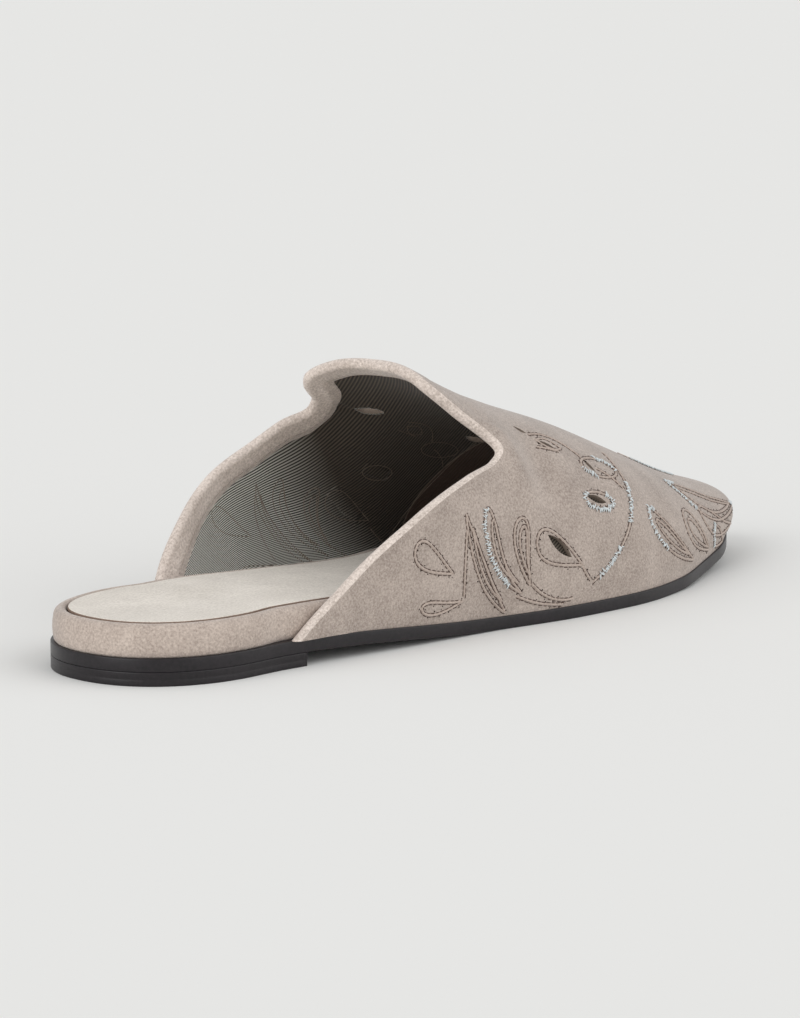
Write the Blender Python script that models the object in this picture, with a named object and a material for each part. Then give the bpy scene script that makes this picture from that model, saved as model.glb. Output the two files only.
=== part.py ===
"""A flat backless mule for the right foot, in metres.

X runs from heel to toe, +Y is the inner (medial) side of the foot and +Z is up.
The origin is under the middle of the shoe, on the plane that it stands on.
The upper is one hollow solid, open at the collar, underneath and at its leaf cut-outs.
"""
from collections import namedtuple
import bpy
import bmesh
import numpy as np

# Driving sizes of the last.
LENGTH = 0.262
BALL_WIDTH = 0.083
HEEL_WIDTH = 0.0575
INSTEP_HEIGHT = 0.070
TOE_SPRING = 0.0078
TIP_SWING = 0.0055
HEEL_ROUND = 0.035
HEEL_POWER = 2.2
TOE_ROUND = 0.030
TOE_POWER = 2.0
NOSE_ROUND = 0.024
NOSE_POWER = 2.3
TOE_LEAN = 0.0062
TOE_LEAN_HEIGHT = 0.0060

# Sole.
HEEL_LENGTH = 0.0525
HEEL_HEIGHT = 0.0037
SOLE_THICKNESS = 0.0036
SOLE_EDGE = 0.0004

# Footbed and sock.
FOOTBED_THICKNESS = 0.0083
FOOTBED_TOE_THICKNESS = 0.0035
FOOTBED_INSET = 0.0008
FOOTBED_EDGE = 0.0024
FOOTBED_RIM = 0.0036
FOOTBED_TOE_GAP = 0.008
FOOTBED_TOE_INSET = 0.0014
FOOTBED_TUCK = 0.0114
SOCK_THICKNESS = 0.0012

# Upper.
WALL = 0.0020
COLLAR_WALL = 0.0032
COLLAR_FACING = 0.0062
FACING_STEP = 0.0006
UPPER_INSET = 0.0006
COLLAR_OVERHANG = 0.0012
OVERHANG_REACH = 0.0285
FACING_REACH = 0.0475
CUTOUT_LENGTH = 0.0110
CUTOUT_WIDTH = 0.0031
CUTTER_REACH = 0.0040

# Every two pieces that meet keep this gap.
CLEARANCE = 0.0003

# Counts of faces, and of the points that the collar's edge is measured with.
OUTLINE_STEPS = 44
UPPER_COLUMNS = 56
UPPER_ROWS = 29
CUTOUT_SIDES = 6
EDGE_POINTS = 1000
REACH_POINTS = 60
ROLL_TURNS = (45, 90, 135)

# Columns of the upper crowd together where the collar's edge slopes and where it bends.
CROWD_SLOPE = 0.5
CROWD_BEND = 0.006
CROWD_LIMIT = 150

# Corners sharper than this many degrees are shaded as corners.
SHARP_ANGLE = 40

# Steps that slopes are measured with, along the shoe, along the outline and over the upper.
STATION_STEP = 1e-5
OUTLINE_STEP = 1e-4
TURN_STEP = 1e-4

# Stations are shares of the length from the heel. Half widths are shares of the row's gauge.
OutlineRow = namedtuple("OutlineRow", "station gauge lateral medial")
OUTLINE = (
    OutlineRow(0.000, HEEL_WIDTH, 0.512, 0.506),
    OutlineRow(0.153, HEEL_WIDTH, 0.510, 0.512),
    OutlineRow(0.252, HEEL_WIDTH, 0.556, 0.520),
    OutlineRow(0.344, BALL_WIDTH, 0.412, 0.358),
    OutlineRow(0.458, BALL_WIDTH, 0.432, 0.366),
    OutlineRow(0.573, BALL_WIDTH, 0.486, 0.420),
    OutlineRow(0.668, BALL_WIDTH, 0.499, 0.506),
    OutlineRow(0.763, BALL_WIDTH, 0.459, 0.517),
    OutlineRow(0.840, BALL_WIDTH, 0.380, 0.477),
    OutlineRow(0.916, BALL_WIDTH, 0.301, 0.375),
    OutlineRow(1.000, BALL_WIDTH, 0.207, 0.233),
)

# Shares of the length: the forefoot stands flat between two of them, the tip swings inwards
# from one, the footbed thins between two and narrows from one.
FLAT_FROM, FLAT_TO = 0.500, 0.700
SWING_FROM = 0.573
THIN_FROM, THIN_TO = 0.660, 0.950
NARROW_FROM = 0.800

# Sections of the upper: height as a share of INSTEP_HEIGHT, ridge as a share of the way
# across, the power of the section's curve, and how far the girth stands out past the sole
# on either side as shares of BALL_WIDTH.
SectionRow = namedtuple("SectionRow", "station height ridge power lateral_out medial_out")
SECTIONS = (
    SectionRow(0.190, 1.08, 0.54, 2.4, -0.010, 0.070),
    SectionRow(0.267, 1.10, 0.55, 2.4, 0.035, 0.135),
    SectionRow(0.344, 1.08, 0.56, 2.4, 0.058, 0.205),
    SectionRow(0.420, 0.985, 0.56, 2.3, 0.060, 0.225),
    SectionRow(0.496, 0.865, 0.56, 2.3, 0.050, 0.185),
    SectionRow(0.573, 0.755, 0.56, 2.2, 0.034, 0.125),
    SectionRow(0.668, 0.646, 0.55, 2.2, 0.020, 0.046),
    SectionRow(0.763, 0.507, 0.54, 2.2, 0.020, 0.025),
    SectionRow(0.859, 0.343, 0.52, 2.2, 0.020, 0.020),
    SectionRow(0.935, 0.214, 0.51, 2.2, 0.028, 0.024),
    SectionRow(1.000, 0.138, 0.50, 2.2, 0.034, 0.028),
)

# Share of a section's height where its girth is widest. A flare fades out where the section
# is narrower than FLARE_NEEDS.
GIRTH_AT = 0.45
FLARE_NEEDS = 0.25 * BALL_WIDTH

# Edge of the collar: round is the share of the way over the section, from the lateral
# foot at 0 to the medial foot at 1, and station is where the upper ends there.
CollarRow = namedtuple("CollarRow", "round station")
COLLAR = (
    CollarRow(0.000, 0.182),
    CollarRow(0.040, 0.232),
    CollarRow(0.094, 0.296),
    CollarRow(0.153, 0.375),
    CollarRow(0.200, 0.436),
    CollarRow(0.236, 0.479),
    CollarRow(0.264, 0.494),
    CollarRow(0.290, 0.485),
    CollarRow(0.328, 0.458),
    CollarRow(0.390, 0.436),
    CollarRow(0.500, 0.436),
    CollarRow(0.590, 0.424),
    CollarRow(0.648, 0.417),
    CollarRow(0.672, 0.425),
    CollarRow(0.694, 0.447),
    CollarRow(0.715, 0.450),
    CollarRow(0.756, 0.426),
    CollarRow(0.806, 0.393),
    CollarRow(0.861, 0.335),
    CollarRow(0.914, 0.274),
    CollarRow(0.950, 0.240),
    CollarRow(1.000, 0.205),
)

# Leaf cut-outs: where each lies on the upper, its turn from the length of the shoe in
# degrees, and its size as a share of CUTOUT_LENGTH and CUTOUT_WIDTH.
CutoutRow = namedtuple("CutoutRow", "round station turn size")
CUTOUTS = (
    CutoutRow(0.100, 0.545, -35, 1.00),
    CutoutRow(0.187, 0.624, -12, 0.75),
    CutoutRow(0.267, 0.644, -60, 0.50),
    CutoutRow(0.308, 0.591, -25, 0.65),
    CutoutRow(0.344, 0.566, -20, 0.45),
    CutoutRow(0.667, 0.549, -20, 0.80),
    CutoutRow(0.669, 0.695, 0, 0.75),
    CutoutRow(0.813, 0.624, 12, 0.75),
    CutoutRow(0.885, 0.545, 38, 1.00),
)

SUEDE = ("suede", (0.50, 0.43, 0.37), 0.95)
SOCK_SUEDE = ("sock_suede", (0.56, 0.52, 0.46), 0.95)
SOLE_LEATHER = ("sole_leather", (0.045, 0.036, 0.036), 0.42)


def clear_scene():
    for item in list(bpy.data.objects):
        bpy.data.objects.remove(item, do_unlink=True)


def finish(name, look):
    """Give an object its plain material, one colour and one roughness."""
    label, colour, roughness = look
    material = bpy.data.materials.get(label) or bpy.data.materials.new(label)
    material.use_nodes = True
    shader = material.node_tree.nodes["Principled BSDF"]
    shader.inputs["Base Color"].default_value = (*colour, 1.0)
    shader.inputs["Roughness"].default_value = roughness
    shader.inputs["Metallic"].default_value = 0.0
    bpy.data.objects[name].data.materials.append(material)


def add_solid(name, points, faces, look):
    """Make one closed object from points and faces, with its faces turned outwards."""
    mesh = bpy.data.meshes.new(name)
    mesh.from_pydata(points.tolist(), [], faces)
    shape = bmesh.new()
    shape.from_mesh(mesh)
    bmesh.ops.remove_doubles(shape, verts=shape.verts, dist=1e-6)
    bmesh.ops.recalc_face_normals(shape, faces=shape.faces)
    shape.to_mesh(mesh)
    shape.free()
    mesh.shade_smooth()
    mesh.set_sharp_from_angle(angle=np.radians(SHARP_ANGLE))
    solid = bpy.data.objects.new(name, mesh)
    bpy.context.scene.collection.objects.link(solid)
    finish(name, look)
    return solid


def smooth_rows(keys, values, at):
    """Read a smooth curve through the rows that never overshoots them."""
    keys = np.asarray(keys, float)
    values = np.asarray(values, float)
    at = np.clip(at, keys[0], keys[-1])
    step = np.diff(keys)
    rise = np.diff(values) / step
    before = 2 * step[1:] + step[:-1]
    after = step[1:] + 2 * step[:-1]
    product = rise[:-1] * rise[1:]
    same_way = product > 0
    weight = np.where(same_way, before * rise[1:] + after * rise[:-1], 1.0)
    slope = np.zeros_like(values)
    slope[1:-1] = np.where(same_way, (before + after) * product / weight, 0.0)
    slope[0], slope[-1] = rise[0], rise[-1]
    i = np.clip(np.searchsorted(keys, at, side="right") - 1, 0, len(step) - 1)
    s = (at - keys[i]) / step[i]
    ends = values[i] * (1 + 2 * s) * (1 - s) ** 2 + values[i + 1] * s * s * (3 - 2 * s)
    return ends + step[i] * (slope[i] * s * (1 - s) ** 2 - slope[i + 1] * s * s * (1 - s))


def ease(start, end, at):
    s = np.clip((at - start) / (end - start), 0.0, 1.0)
    return s * s * (3 - 2 * s)


def station(t):
    """Station from the heel for t from 0 to 1, close together at both ends."""
    return LENGTH * (1 - np.cos(np.pi * t)) / 2


def parameter(x):
    return np.arccos(np.clip(1 - 2 * x / LENGTH, -1, 1)) / np.pi


def half_width(x, side):
    """Half width of the sole on one side, rounded off as ellipses at heel and toe."""
    rows = [row.gauge * (row.lateral if side < 0 else row.medial) for row in OUTLINE]
    width = smooth_rows([row.station * LENGTH for row in OUTLINE], rows, x)
    heel = np.clip(1 - x / HEEL_ROUND, 0, 1)
    toe = np.clip(1 - (LENGTH - x) / TOE_ROUND, 0, 1)
    width = width * (1 - heel ** HEEL_POWER) ** (1 / HEEL_POWER)
    return width * np.maximum(1 - toe ** TOE_POWER, 0) ** (1 / TOE_POWER)


def outline_point(t, side):
    """Point of the sole's outline; past an end it runs on round to the other side."""
    folded = np.where(np.abs(t) > 1, 2 - np.abs(t), np.abs(t))
    x = station(folded)
    real_side = np.where((t < 0) | (t > 1), -side, side)
    swing = TIP_SWING * np.clip((x / LENGTH - SWING_FROM) / (1 - SWING_FROM), 0, 1) ** 2
    width = np.where(real_side < 0, half_width(x, -1), half_width(x, 1))
    return np.stack([x, swing + real_side * width], -1)


def edge(t, side, inset=0.0):
    """Outline point moved inwards, square to the outline, by the inset."""
    t = np.asarray(t, float)
    along = outline_point(t + OUTLINE_STEP, side) - outline_point(t - OUTLINE_STEP, side)
    along /= np.linalg.norm(along, axis=-1, keepdims=True)
    inward = np.stack([side * along[..., 1], -side * along[..., 0]], -1)
    return outline_point(t, side) + inward * np.broadcast_to(inset, t.shape)[..., None]


def underside(x):
    """Height of the outsole's underside: heel, arch, flat forefoot and toe spring."""
    arch = HEEL_HEIGHT * (1 - ease(HEEL_LENGTH, FLAT_FROM * LENGTH, x))
    spring = TOE_SPRING * np.clip((x / LENGTH - FLAT_TO) / (1 - FLAT_TO), 0, 1) ** 2
    return arch + spring


def seat(x):
    """Height of the outsole's top."""
    return underside(x) + SOLE_THICKNESS


def middle():
    """Half way across the outsole's outline, which is the frame's Y = 0."""
    t = np.linspace(0, 1, EDGE_POINTS)
    return (outline_point(t, -1)[:, 1].min() + outline_point(t, 1)[:, 1].max()) / 2


def overhang():
    """How far the upper's nose stands out past the tip of the sole."""
    x = np.linspace(LENGTH - NOSE_ROUND, LENGTH, EDGE_POINTS)
    return upper_point(x, np.pi / 2)[:, 0].max() - LENGTH


def to_frame(points):
    """Move points from the back of the heel to the middle of the shoe's length and width."""
    return points - np.array([(LENGTH + overhang()) / 2, middle(), 0.0])


def lateral_and_medial(t, inset, height):
    """Two rows of points along the sole at an inset, at heights given by a function."""
    rows = []
    for side in (-1, 1):
        flat = edge(t, side, inset)
        rows.append(np.concatenate([flat, height(flat[:, 0])[:, None]], 1))
    return rows


def stacked_solid(name, t, layers, look):
    """Close a solid from layers, each one an inset and a height function, bottom to top.

    Each layer is a ring: up the lateral side and back along the medial side. The first
    and last rings are closed across by strips from side to side.
    """
    rings = []
    for inset, height in layers:
        lateral, medial = lateral_and_medial(t, inset, height)
        rings.append(np.concatenate([lateral, medial[::-1]]))
    count = len(rings[0])
    faces = []
    for layer in range(len(rings) - 1):
        low, high = layer * count, (layer + 1) * count
        for i in range(count):
            j = (i + 1) % count
            faces.append((low + i, low + j, high + j, high + i))
    for base in (0, (len(rings) - 1) * count):
        for i in range(len(t) - 1):
            faces.append((base + i, base + i + 1, base + count - 2 - i, base + count - 1 - i))
    return add_solid(name, to_frame(np.concatenate(rings)), faces, look)


def build_heel_lift():
    """Stacked heel block under the outsole, flat underneath, with an upright breast."""
    t = np.linspace(0, parameter(HEEL_LENGTH), OUTLINE_STEPS // 2)

    def top(x):
        return underside(x) - CLEARANCE

    layers = (
        (SOLE_EDGE, lambda x: 0 * x),
        (0.0, lambda x: 0 * x + SOLE_EDGE),
        (0.0, top),
    )
    return stacked_solid("heel_lift", t, layers, SOLE_LEATHER)


def build_outsole():
    """Leather outsole with its arch, flat forefoot, toe spring and broken edges."""
    t = np.linspace(0, 1, OUTLINE_STEPS)
    layers = (
        (SOLE_EDGE, underside),
        (0.0, lambda x: underside(x) + SOLE_EDGE),
        (0.0, lambda x: seat(x) - SOLE_EDGE),
        (SOLE_EDGE, seat),
    )
    return stacked_solid("outsole", t, layers, SOLE_LEATHER)


def upper_inset(x):
    """Inset of the upper's foot; the collar's ends lap a little over the sole's edge."""
    start = COLLAR[0].station * LENGTH
    lap = UPPER_INSET + COLLAR_OVERHANG
    return UPPER_INSET - lap * (1 - ease(start, start + OVERHANG_REACH, x))


def footbed_inset(x):
    """Inset of the footbed, close to the sole's edge at the heel and inside the upper ahead."""
    start = COLLAR[0].station * LENGTH
    wall = upper_inset(x) + WALL + CLEARANCE
    faced = 1 - ease(start + OVERHANG_REACH, start + FACING_REACH, x)
    facing = (COLLAR_WALL - WALL) * faced
    toe = FOOTBED_TOE_INSET * ease(NARROW_FROM * LENGTH, LENGTH, x)
    ahead = ease(start - FOOTBED_TUCK, start - CLEARANCE, x)
    return FOOTBED_INSET + (wall + facing + toe - FOOTBED_INSET) * ahead


def footbed_parameters():
    return np.linspace(0, parameter(LENGTH - FOOTBED_TOE_GAP), OUTLINE_STEPS)


def footbed_top(x):
    """Height of the footbed's top, which thins out under the vamp towards the toe."""
    thin = ease(THIN_FROM * LENGTH, THIN_TO * LENGTH, x)
    thickness = FOOTBED_THICKNESS + (FOOTBED_TOE_THICKNESS - FOOTBED_THICKNESS) * thin
    return seat(x) + CLEARANCE + thickness


def build_footbed():
    """Padded insole wrapped in suede, with a rounded upper edge and a recess for the sock."""
    t = footbed_parameters()
    inset = footbed_inset(station(t))

    def above(rise):
        return lambda x: seat(x) + CLEARANCE + rise

    def below(drop):
        return lambda x: footbed_top(x) - drop

    corner = FOOTBED_EDGE * (1 - np.sqrt(0.5))
    recess = SOCK_THICKNESS + CLEARANCE
    layers = (
        (inset + FOOTBED_EDGE / 8, above(0.0)),
        (inset, above(FOOTBED_EDGE / 4)),
        (inset, below(FOOTBED_EDGE)),
        (inset + corner, below(corner)),
        (inset + FOOTBED_EDGE, below(0.0)),
        (inset + FOOTBED_RIM, below(0.0)),
        (inset + FOOTBED_RIM, below(recess)),
    )
    return stacked_solid("footbed", t, layers, SUEDE)


def build_sock():
    """Suede sock lining that fills the recess of the footbed."""
    t = footbed_parameters()
    gap = FOOTBED_RIM + CLEARANCE
    end = station(t[-1]) - CLEARANCE
    t = np.linspace(0, parameter(end), OUTLINE_STEPS)
    inset = footbed_inset(station(t)) + gap
    layers = (
        (inset, lambda x: footbed_top(x) - SOCK_THICKNESS),
        (inset, lambda x: footbed_top(x)),
    )
    return stacked_solid("sock", t, layers, SOCK_SUEDE)


def section_value(name, x):
    rows = [getattr(row, name) for row in SECTIONS]
    return smooth_rows([row.station * LENGTH for row in SECTIONS], rows, x)


def upper_point(x, theta):
    """Outer surface of the upper at station x, theta running over from lateral foot to medial.

    Each side of a section is a power curve from its foot to the ridge: its height is the
    sine of theta, and its distance out is the cosine to the power 2 / power. The girth
    stands out past the sole, and the nose leans forward over the tip of the sole.
    """
    x, theta = np.broadcast_arrays(np.asarray(x, float), np.asarray(theta, float))
    t = parameter(x)
    lateral = edge(t, -1, upper_inset(x))
    medial = edge(t, 1, upper_inset(x))
    nose = np.clip(1 - (LENGTH - x) / NOSE_ROUND, 0, 1)
    height = INSTEP_HEIGHT * section_value("height", x)
    height = height * np.maximum(1 - nose ** NOSE_POWER, 0) ** (1 / NOSE_POWER)
    ridge = lateral + section_value("ridge", x)[..., None] * (medial - lateral)
    across = np.cos(theta)
    rise = np.maximum(np.sin(theta), 0)
    foot = np.where((across > 0)[..., None], lateral, medial)
    reach = np.linalg.norm(foot - ridge, axis=-1)
    stand = np.where(across > 0, section_value("lateral_out", x), section_value("medial_out", x))
    stand = BALL_WIDTH * stand * np.minimum(reach / FLARE_NEEDS, 1)
    swell = 1 - np.clip(1 - rise / GIRTH_AT, 0, 1) ** 2
    curve = np.abs(across) ** (2 / section_value("power", x))
    share = (1 + swell * stand / np.maximum(reach, STATION_STEP)) * curve
    flat = ridge + share[..., None] * (foot - ridge)
    lean = 1 - np.clip(1 - height * rise / TOE_LEAN_HEIGHT, 0, 1) ** 2
    flat = flat + np.stack([TOE_LEAN * nose * lean, 0 * lean], -1)
    z = seat(x) + CLEARANCE + height * rise
    return np.concatenate([flat, z[..., None]], -1)


def upper_normal(x, theta):
    """Outward normal of the outer surface, by differences that stay on the surface."""
    ahead = np.minimum(x, LENGTH - 2 * STATION_STEP) + STATION_STEP
    along = upper_point(ahead, theta) - upper_point(ahead - 2 * STATION_STEP, theta)
    low = np.clip(theta - TURN_STEP, 0, np.pi)
    high = np.clip(theta + TURN_STEP, 0, np.pi)
    over = upper_point(x, high) - upper_point(x, low)
    normal = np.cross(along, over)
    size = np.linalg.norm(normal, axis=-1, keepdims=True)
    return normal / np.where(size > 0, size, 1)


def collar_station(theta):
    rounds = [row.round * np.pi for row in COLLAR]
    return smooth_rows(rounds, [row.station * LENGTH for row in COLLAR], theta)


def collar_line():
    theta = np.linspace(0, np.pi, EDGE_POINTS)
    return upper_point(collar_station(theta), theta)


def collar_offset(theta, distance):
    """Station in each column where the surface is a distance away from the collar's edge."""
    line = collar_line()
    shift = np.linspace(0, FACING_REACH, REACH_POINTS) * distance / COLLAR_FACING
    found = np.empty_like(theta)
    for column, angle in enumerate(theta):
        x = collar_station(angle) + shift
        gaps = upper_point(x, angle)[:, None, :] - line[None]
        nearest = np.linalg.norm(gaps, axis=-1).min(axis=1)
        found[column] = np.interp(distance, np.maximum.accumulate(nearest), x)
    return found


def collar_angles():
    """Columns over the section, closer together where the collar turns its corners."""
    even = np.linspace(0, 1, EDGE_POINTS)
    slope = np.abs(np.gradient(collar_station(even * np.pi) / LENGTH, even))
    bend = np.abs(np.gradient(slope, even))
    weight = 1 + CROWD_SLOPE * slope + CROWD_BEND * np.minimum(bend, CROWD_LIMIT)
    total = np.concatenate([[0], np.cumsum((weight[1:] + weight[:-1]) / 2)])
    return np.interp(np.linspace(0, total[-1], UPPER_COLUMNS), total, even) * np.pi


def upper_grids():
    """Outer and inner points of the upper, and the rolled edge that joins them.

    The wall is COLLAR_WALL thick as far as the collar's facing reaches and WALL beyond,
    with a step between them. The edge is rolled as half a circle.
    """
    theta = collar_angles()
    half = COLLAR_WALL / 2
    faced = (half, COLLAR_FACING / 2, COLLAR_FACING)
    near = [collar_offset(theta, distance) for distance in (*faced, faced[-1] + FACING_STEP)]
    start = parameter(near[-1])
    shares = np.linspace(0, 1, UPPER_ROWS - len(near) + 1)[1:]
    rows = near + [station(start + (1 - start) * share) for share in shares]
    x = np.array(rows)
    theta_grid = np.broadcast_to(theta, x.shape)
    outer = upper_point(x, theta_grid)
    normal = upper_normal(x, theta_grid)
    normal[-1] = (1.0, 0.0, 0.0)
    thickness = np.where(np.arange(len(rows))[:, None] < len(faced), COLLAR_WALL, WALL)
    inner = outer - normal * thickness[..., None]
    for side in (0, -1):
        level = outer[:, side, 2]
        flat = outer[:, side, :2] - inner[:, side, :2]
        flat = flat / np.linalg.norm(flat, axis=-1, keepdims=True)
        inner[:, side, :2] = outer[:, side, :2] - flat * thickness
        inner[:, side, 2] = level
    inner[-1] = inner[-1, 0]
    line = collar_line()
    nearest = np.linalg.norm(outer[0][:, None, :] - line[None], axis=-1).argmin(axis=1)
    outward = line[nearest] - outer[0]
    outward -= normal[0] * np.sum(outward * normal[0], axis=-1, keepdims=True)
    outward /= np.linalg.norm(outward, axis=-1, keepdims=True)
    centre = (outer[0] + inner[0]) / 2
    arm = (outer[0] - inner[0]) / 2
    roll = []
    for turn in np.radians(ROLL_TURNS):
        ring = centre + arm * np.cos(turn) + outward * half * np.sin(turn)
        for side, step in ((0, 1), (-1, -1)):
            along = outer[0, side + step] - outer[0, side]
            ring[side] -= along * (ring[side, 2] - outer[0, side, 2]) / along[2]
        roll.append(ring)
    return outer, inner, roll


def build_upper():
    """Suede upper as one hollow wall with a rolled, faced collar and leaf cut-outs."""
    outer, inner, roll = upper_grids()
    rows, columns = outer.shape[:2]
    sheets = [*outer, *inner, *roll]
    points = np.concatenate(sheets)
    out = np.arange(rows * columns).reshape(rows, columns)
    inn = out + rows * columns
    rolled = np.arange(len(roll) * columns).reshape(len(roll), columns) + 2 * rows * columns
    bands = [out, inn, np.stack([out[0], *rolled, inn[0]])]
    faces = []
    for band in bands:
        for i in range(len(band) - 1):
            for j in range(columns - 1):
                faces.append((band[i, j], band[i, j + 1], band[i + 1, j + 1], band[i + 1, j]))
    for side in (0, columns - 1):
        for i in range(rows - 1):
            faces.append((out[i, side], out[i + 1, side], inn[i + 1, side], inn[i, side]))
        faces.append((out[0, side], inn[0, side], *rolled[::-1, side]))
    last = rows - 1
    tip_out, tip_in = out[last, 0], inn[last, 0]
    merged = {}
    for j in range(columns):
        merged[out[last, j]] = tip_out
        merged[inn[last, j]] = tip_in
    clean = []
    for face in faces:
        ring = []
        for corner in face:
            corner = int(merged.get(corner, corner))
            if corner not in ring:
                ring.append(corner)
        if len(ring) > 2:
            clean.append(tuple(ring))
    used = sorted({corner for face in clean for corner in face})
    renumber = {old: new for new, old in enumerate(used)}
    clean = [tuple(renumber[corner] for corner in face) for face in clean]
    upper = add_solid("upper", to_frame(points[used]), clean, SUEDE)
    cutter = build_cutter()
    cut = upper.modifiers.new("cutouts", "BOOLEAN")
    cut.object = cutter
    cut.operation = "DIFFERENCE"
    cut.solver = "EXACT"
    return upper


def build_cutter():
    """Leaf-shaped prisms through the wall, each square to the surface where it stands."""
    points, faces = [], []
    for row in CUTOUTS:
        x, theta = row.station * LENGTH, row.round * np.pi
        middle_point = upper_point(x, theta)
        normal = upper_normal(np.array(x), np.array(theta))
        along = upper_point(x + STATION_STEP, theta) - middle_point
        along -= normal * np.dot(along, normal)
        along /= np.linalg.norm(along)
        over = np.cross(normal, along)
        turn = np.radians(row.turn)
        long_way = along * np.cos(turn) + over * np.sin(turn)
        wide_way = np.cross(normal, long_way)
        share = np.linspace(-1, 1, CUTOUT_SIDES + 1)
        bow = row.size * CUTOUT_WIDTH / 2 * (1 - share ** 2)
        length = row.size * CUTOUT_LENGTH / 2 * share
        loop = np.concatenate([
            np.stack([length, bow], -1), np.stack([length, -bow], -1)[-2:0:-1]])
        base = len(points)
        for lift in (-CUTTER_REACH, CUTTER_REACH):
            for a, b in loop:
                points.append(middle_point + long_way * a + wide_way * b + normal * lift)
        count = len(loop)
        for i in range(count):
            j = (i + 1) % count
            faces.append((base + i, base + j, base + count + j, base + count + i))
        faces.append(tuple(base + i for i in reversed(range(count))))
        faces.append(tuple(base + count + i for i in range(count)))
    cutter = add_solid("cutout_cutter", to_frame(np.array(points)), faces, SUEDE)
    cutter.hide_render = True
    cutter.display_type = "WIRE"
    return cutter


clear_scene()
build_heel_lift()
build_outsole()
build_footbed()
build_sock()
build_upper()
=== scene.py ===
"""The dressed model of a flat suede mule for the right foot, in metres.

X runs from heel to toe, +Y is the inner (medial) side of the foot and +Z is up, as in the
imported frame. The pieces follow in the order in which the shoe is put together.
"""
from collections import namedtuple

import bmesh
import bpy
import numpy as np
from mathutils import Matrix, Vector


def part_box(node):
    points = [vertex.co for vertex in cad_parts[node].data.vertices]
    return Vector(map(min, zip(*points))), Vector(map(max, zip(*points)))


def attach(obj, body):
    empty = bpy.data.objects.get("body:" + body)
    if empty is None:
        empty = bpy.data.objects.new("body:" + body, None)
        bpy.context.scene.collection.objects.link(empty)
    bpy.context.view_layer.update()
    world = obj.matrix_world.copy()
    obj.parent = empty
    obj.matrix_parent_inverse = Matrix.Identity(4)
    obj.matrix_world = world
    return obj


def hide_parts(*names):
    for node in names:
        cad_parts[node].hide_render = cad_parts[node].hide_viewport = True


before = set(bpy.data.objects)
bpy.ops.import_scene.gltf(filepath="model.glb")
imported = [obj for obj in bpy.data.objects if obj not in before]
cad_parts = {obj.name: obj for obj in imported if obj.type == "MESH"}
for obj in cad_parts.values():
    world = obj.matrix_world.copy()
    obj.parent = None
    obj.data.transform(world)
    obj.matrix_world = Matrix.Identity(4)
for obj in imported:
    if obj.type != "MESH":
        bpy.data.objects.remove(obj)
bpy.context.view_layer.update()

# Outsole.
# A leather sole cut to the outline of the last, arched behind the ball and sprung at the toe.
# Its trimmed edge is stained dark, burnished and waxed, with the corners broken.
OUTSOLE_LOW, OUTSOLE_HIGH = (np.array(corner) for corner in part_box("outsole"))
LENGTH = OUTSOLE_HIGH[0] - OUTSOLE_LOW[0]
BALL_WIDTH = 0.083
HEEL_WIDTH = 0.0575
TOE_SPRING = 0.0078
TIP_SWING = 0.0055
HEEL_ROUND, HEEL_POWER = 0.035, 2.2
TOE_ROUND, TOE_POWER = 0.030, 2.0
HEEL_LENGTH = 0.0525
HEEL_HEIGHT = 0.0037
SOLE_THICKNESS = 0.0036
SOLE_CORNER = 0.0003
FLAT_FROM, FLAT_TO = 0.500, 0.700
SWING_FROM = 0.573
OUTLINE_STEP = 1e-4
MIDDLE_SAMPLES = 1000
SOLE_ROWS, SOLE_ACROSS = 220, 20
WELD = 2e-6
TINY = 1e-9

# Stations are shares of the length from the heel. Half widths are shares of the row's gauge.
OutlineRow = namedtuple("OutlineRow", "station gauge lateral medial")
OUTLINE = (
    OutlineRow(0.000, HEEL_WIDTH, 0.512, 0.506),
    OutlineRow(0.153, HEEL_WIDTH, 0.510, 0.512),
    OutlineRow(0.252, HEEL_WIDTH, 0.556, 0.520),
    OutlineRow(0.344, BALL_WIDTH, 0.412, 0.358),
    OutlineRow(0.458, BALL_WIDTH, 0.432, 0.366),
    OutlineRow(0.573, BALL_WIDTH, 0.486, 0.420),
    OutlineRow(0.668, BALL_WIDTH, 0.499, 0.506),
    OutlineRow(0.763, BALL_WIDTH, 0.459, 0.517),
    OutlineRow(0.840, BALL_WIDTH, 0.380, 0.477),
    OutlineRow(0.916, BALL_WIDTH, 0.301, 0.375),
    OutlineRow(1.000, BALL_WIDTH, 0.207, 0.233),
)


def smooth_rows(keys, values, at):
    """Cubic pieces through the rows, with slopes from harmonic means, that never overshoot."""
    keys = np.asarray(keys, float)
    values = np.asarray(values, float)
    at = np.clip(at, keys[0], keys[-1])
    step = np.diff(keys)
    rise = np.diff(values) / step
    before = 2 * step[1:] + step[:-1]
    after = step[1:] + 2 * step[:-1]
    product = rise[:-1] * rise[1:]
    same_way = product > 0
    weight = np.where(same_way, before * rise[1:] + after * rise[:-1], 1.0)
    slope = np.zeros_like(values)
    slope[1:-1] = np.where(same_way, (before + after) * product / weight, 0.0)
    slope[0], slope[-1] = rise[0], rise[-1]
    i = np.clip(np.searchsorted(keys, at, side="right") - 1, 0, len(step) - 1)
    s = (at - keys[i]) / step[i]
    ends = values[i] * (1 + 2 * s) * (1 - s) ** 2 + values[i + 1] * s * s * (3 - 2 * s)
    return ends + step[i] * (slope[i] * s * (1 - s) ** 2 - slope[i + 1] * s * s * (1 - s))


def ease(start, end, at):
    """Go from 0 at the start to 1 at the end as three squares less two cubes."""
    s = np.clip((at - start) / (end - start), 0.0, 1.0)
    return s * s * (3 - 2 * s)


def station(t):
    """Station from the heel: half the length times one less the cosine of pi t."""
    return LENGTH * (1 - np.cos(np.pi * t)) / 2


def parameter(x):
    """The t of a station, by the arc cosine."""
    return np.arccos(np.clip(1 - 2 * x / LENGTH, -1, 1)) / np.pi


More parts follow.
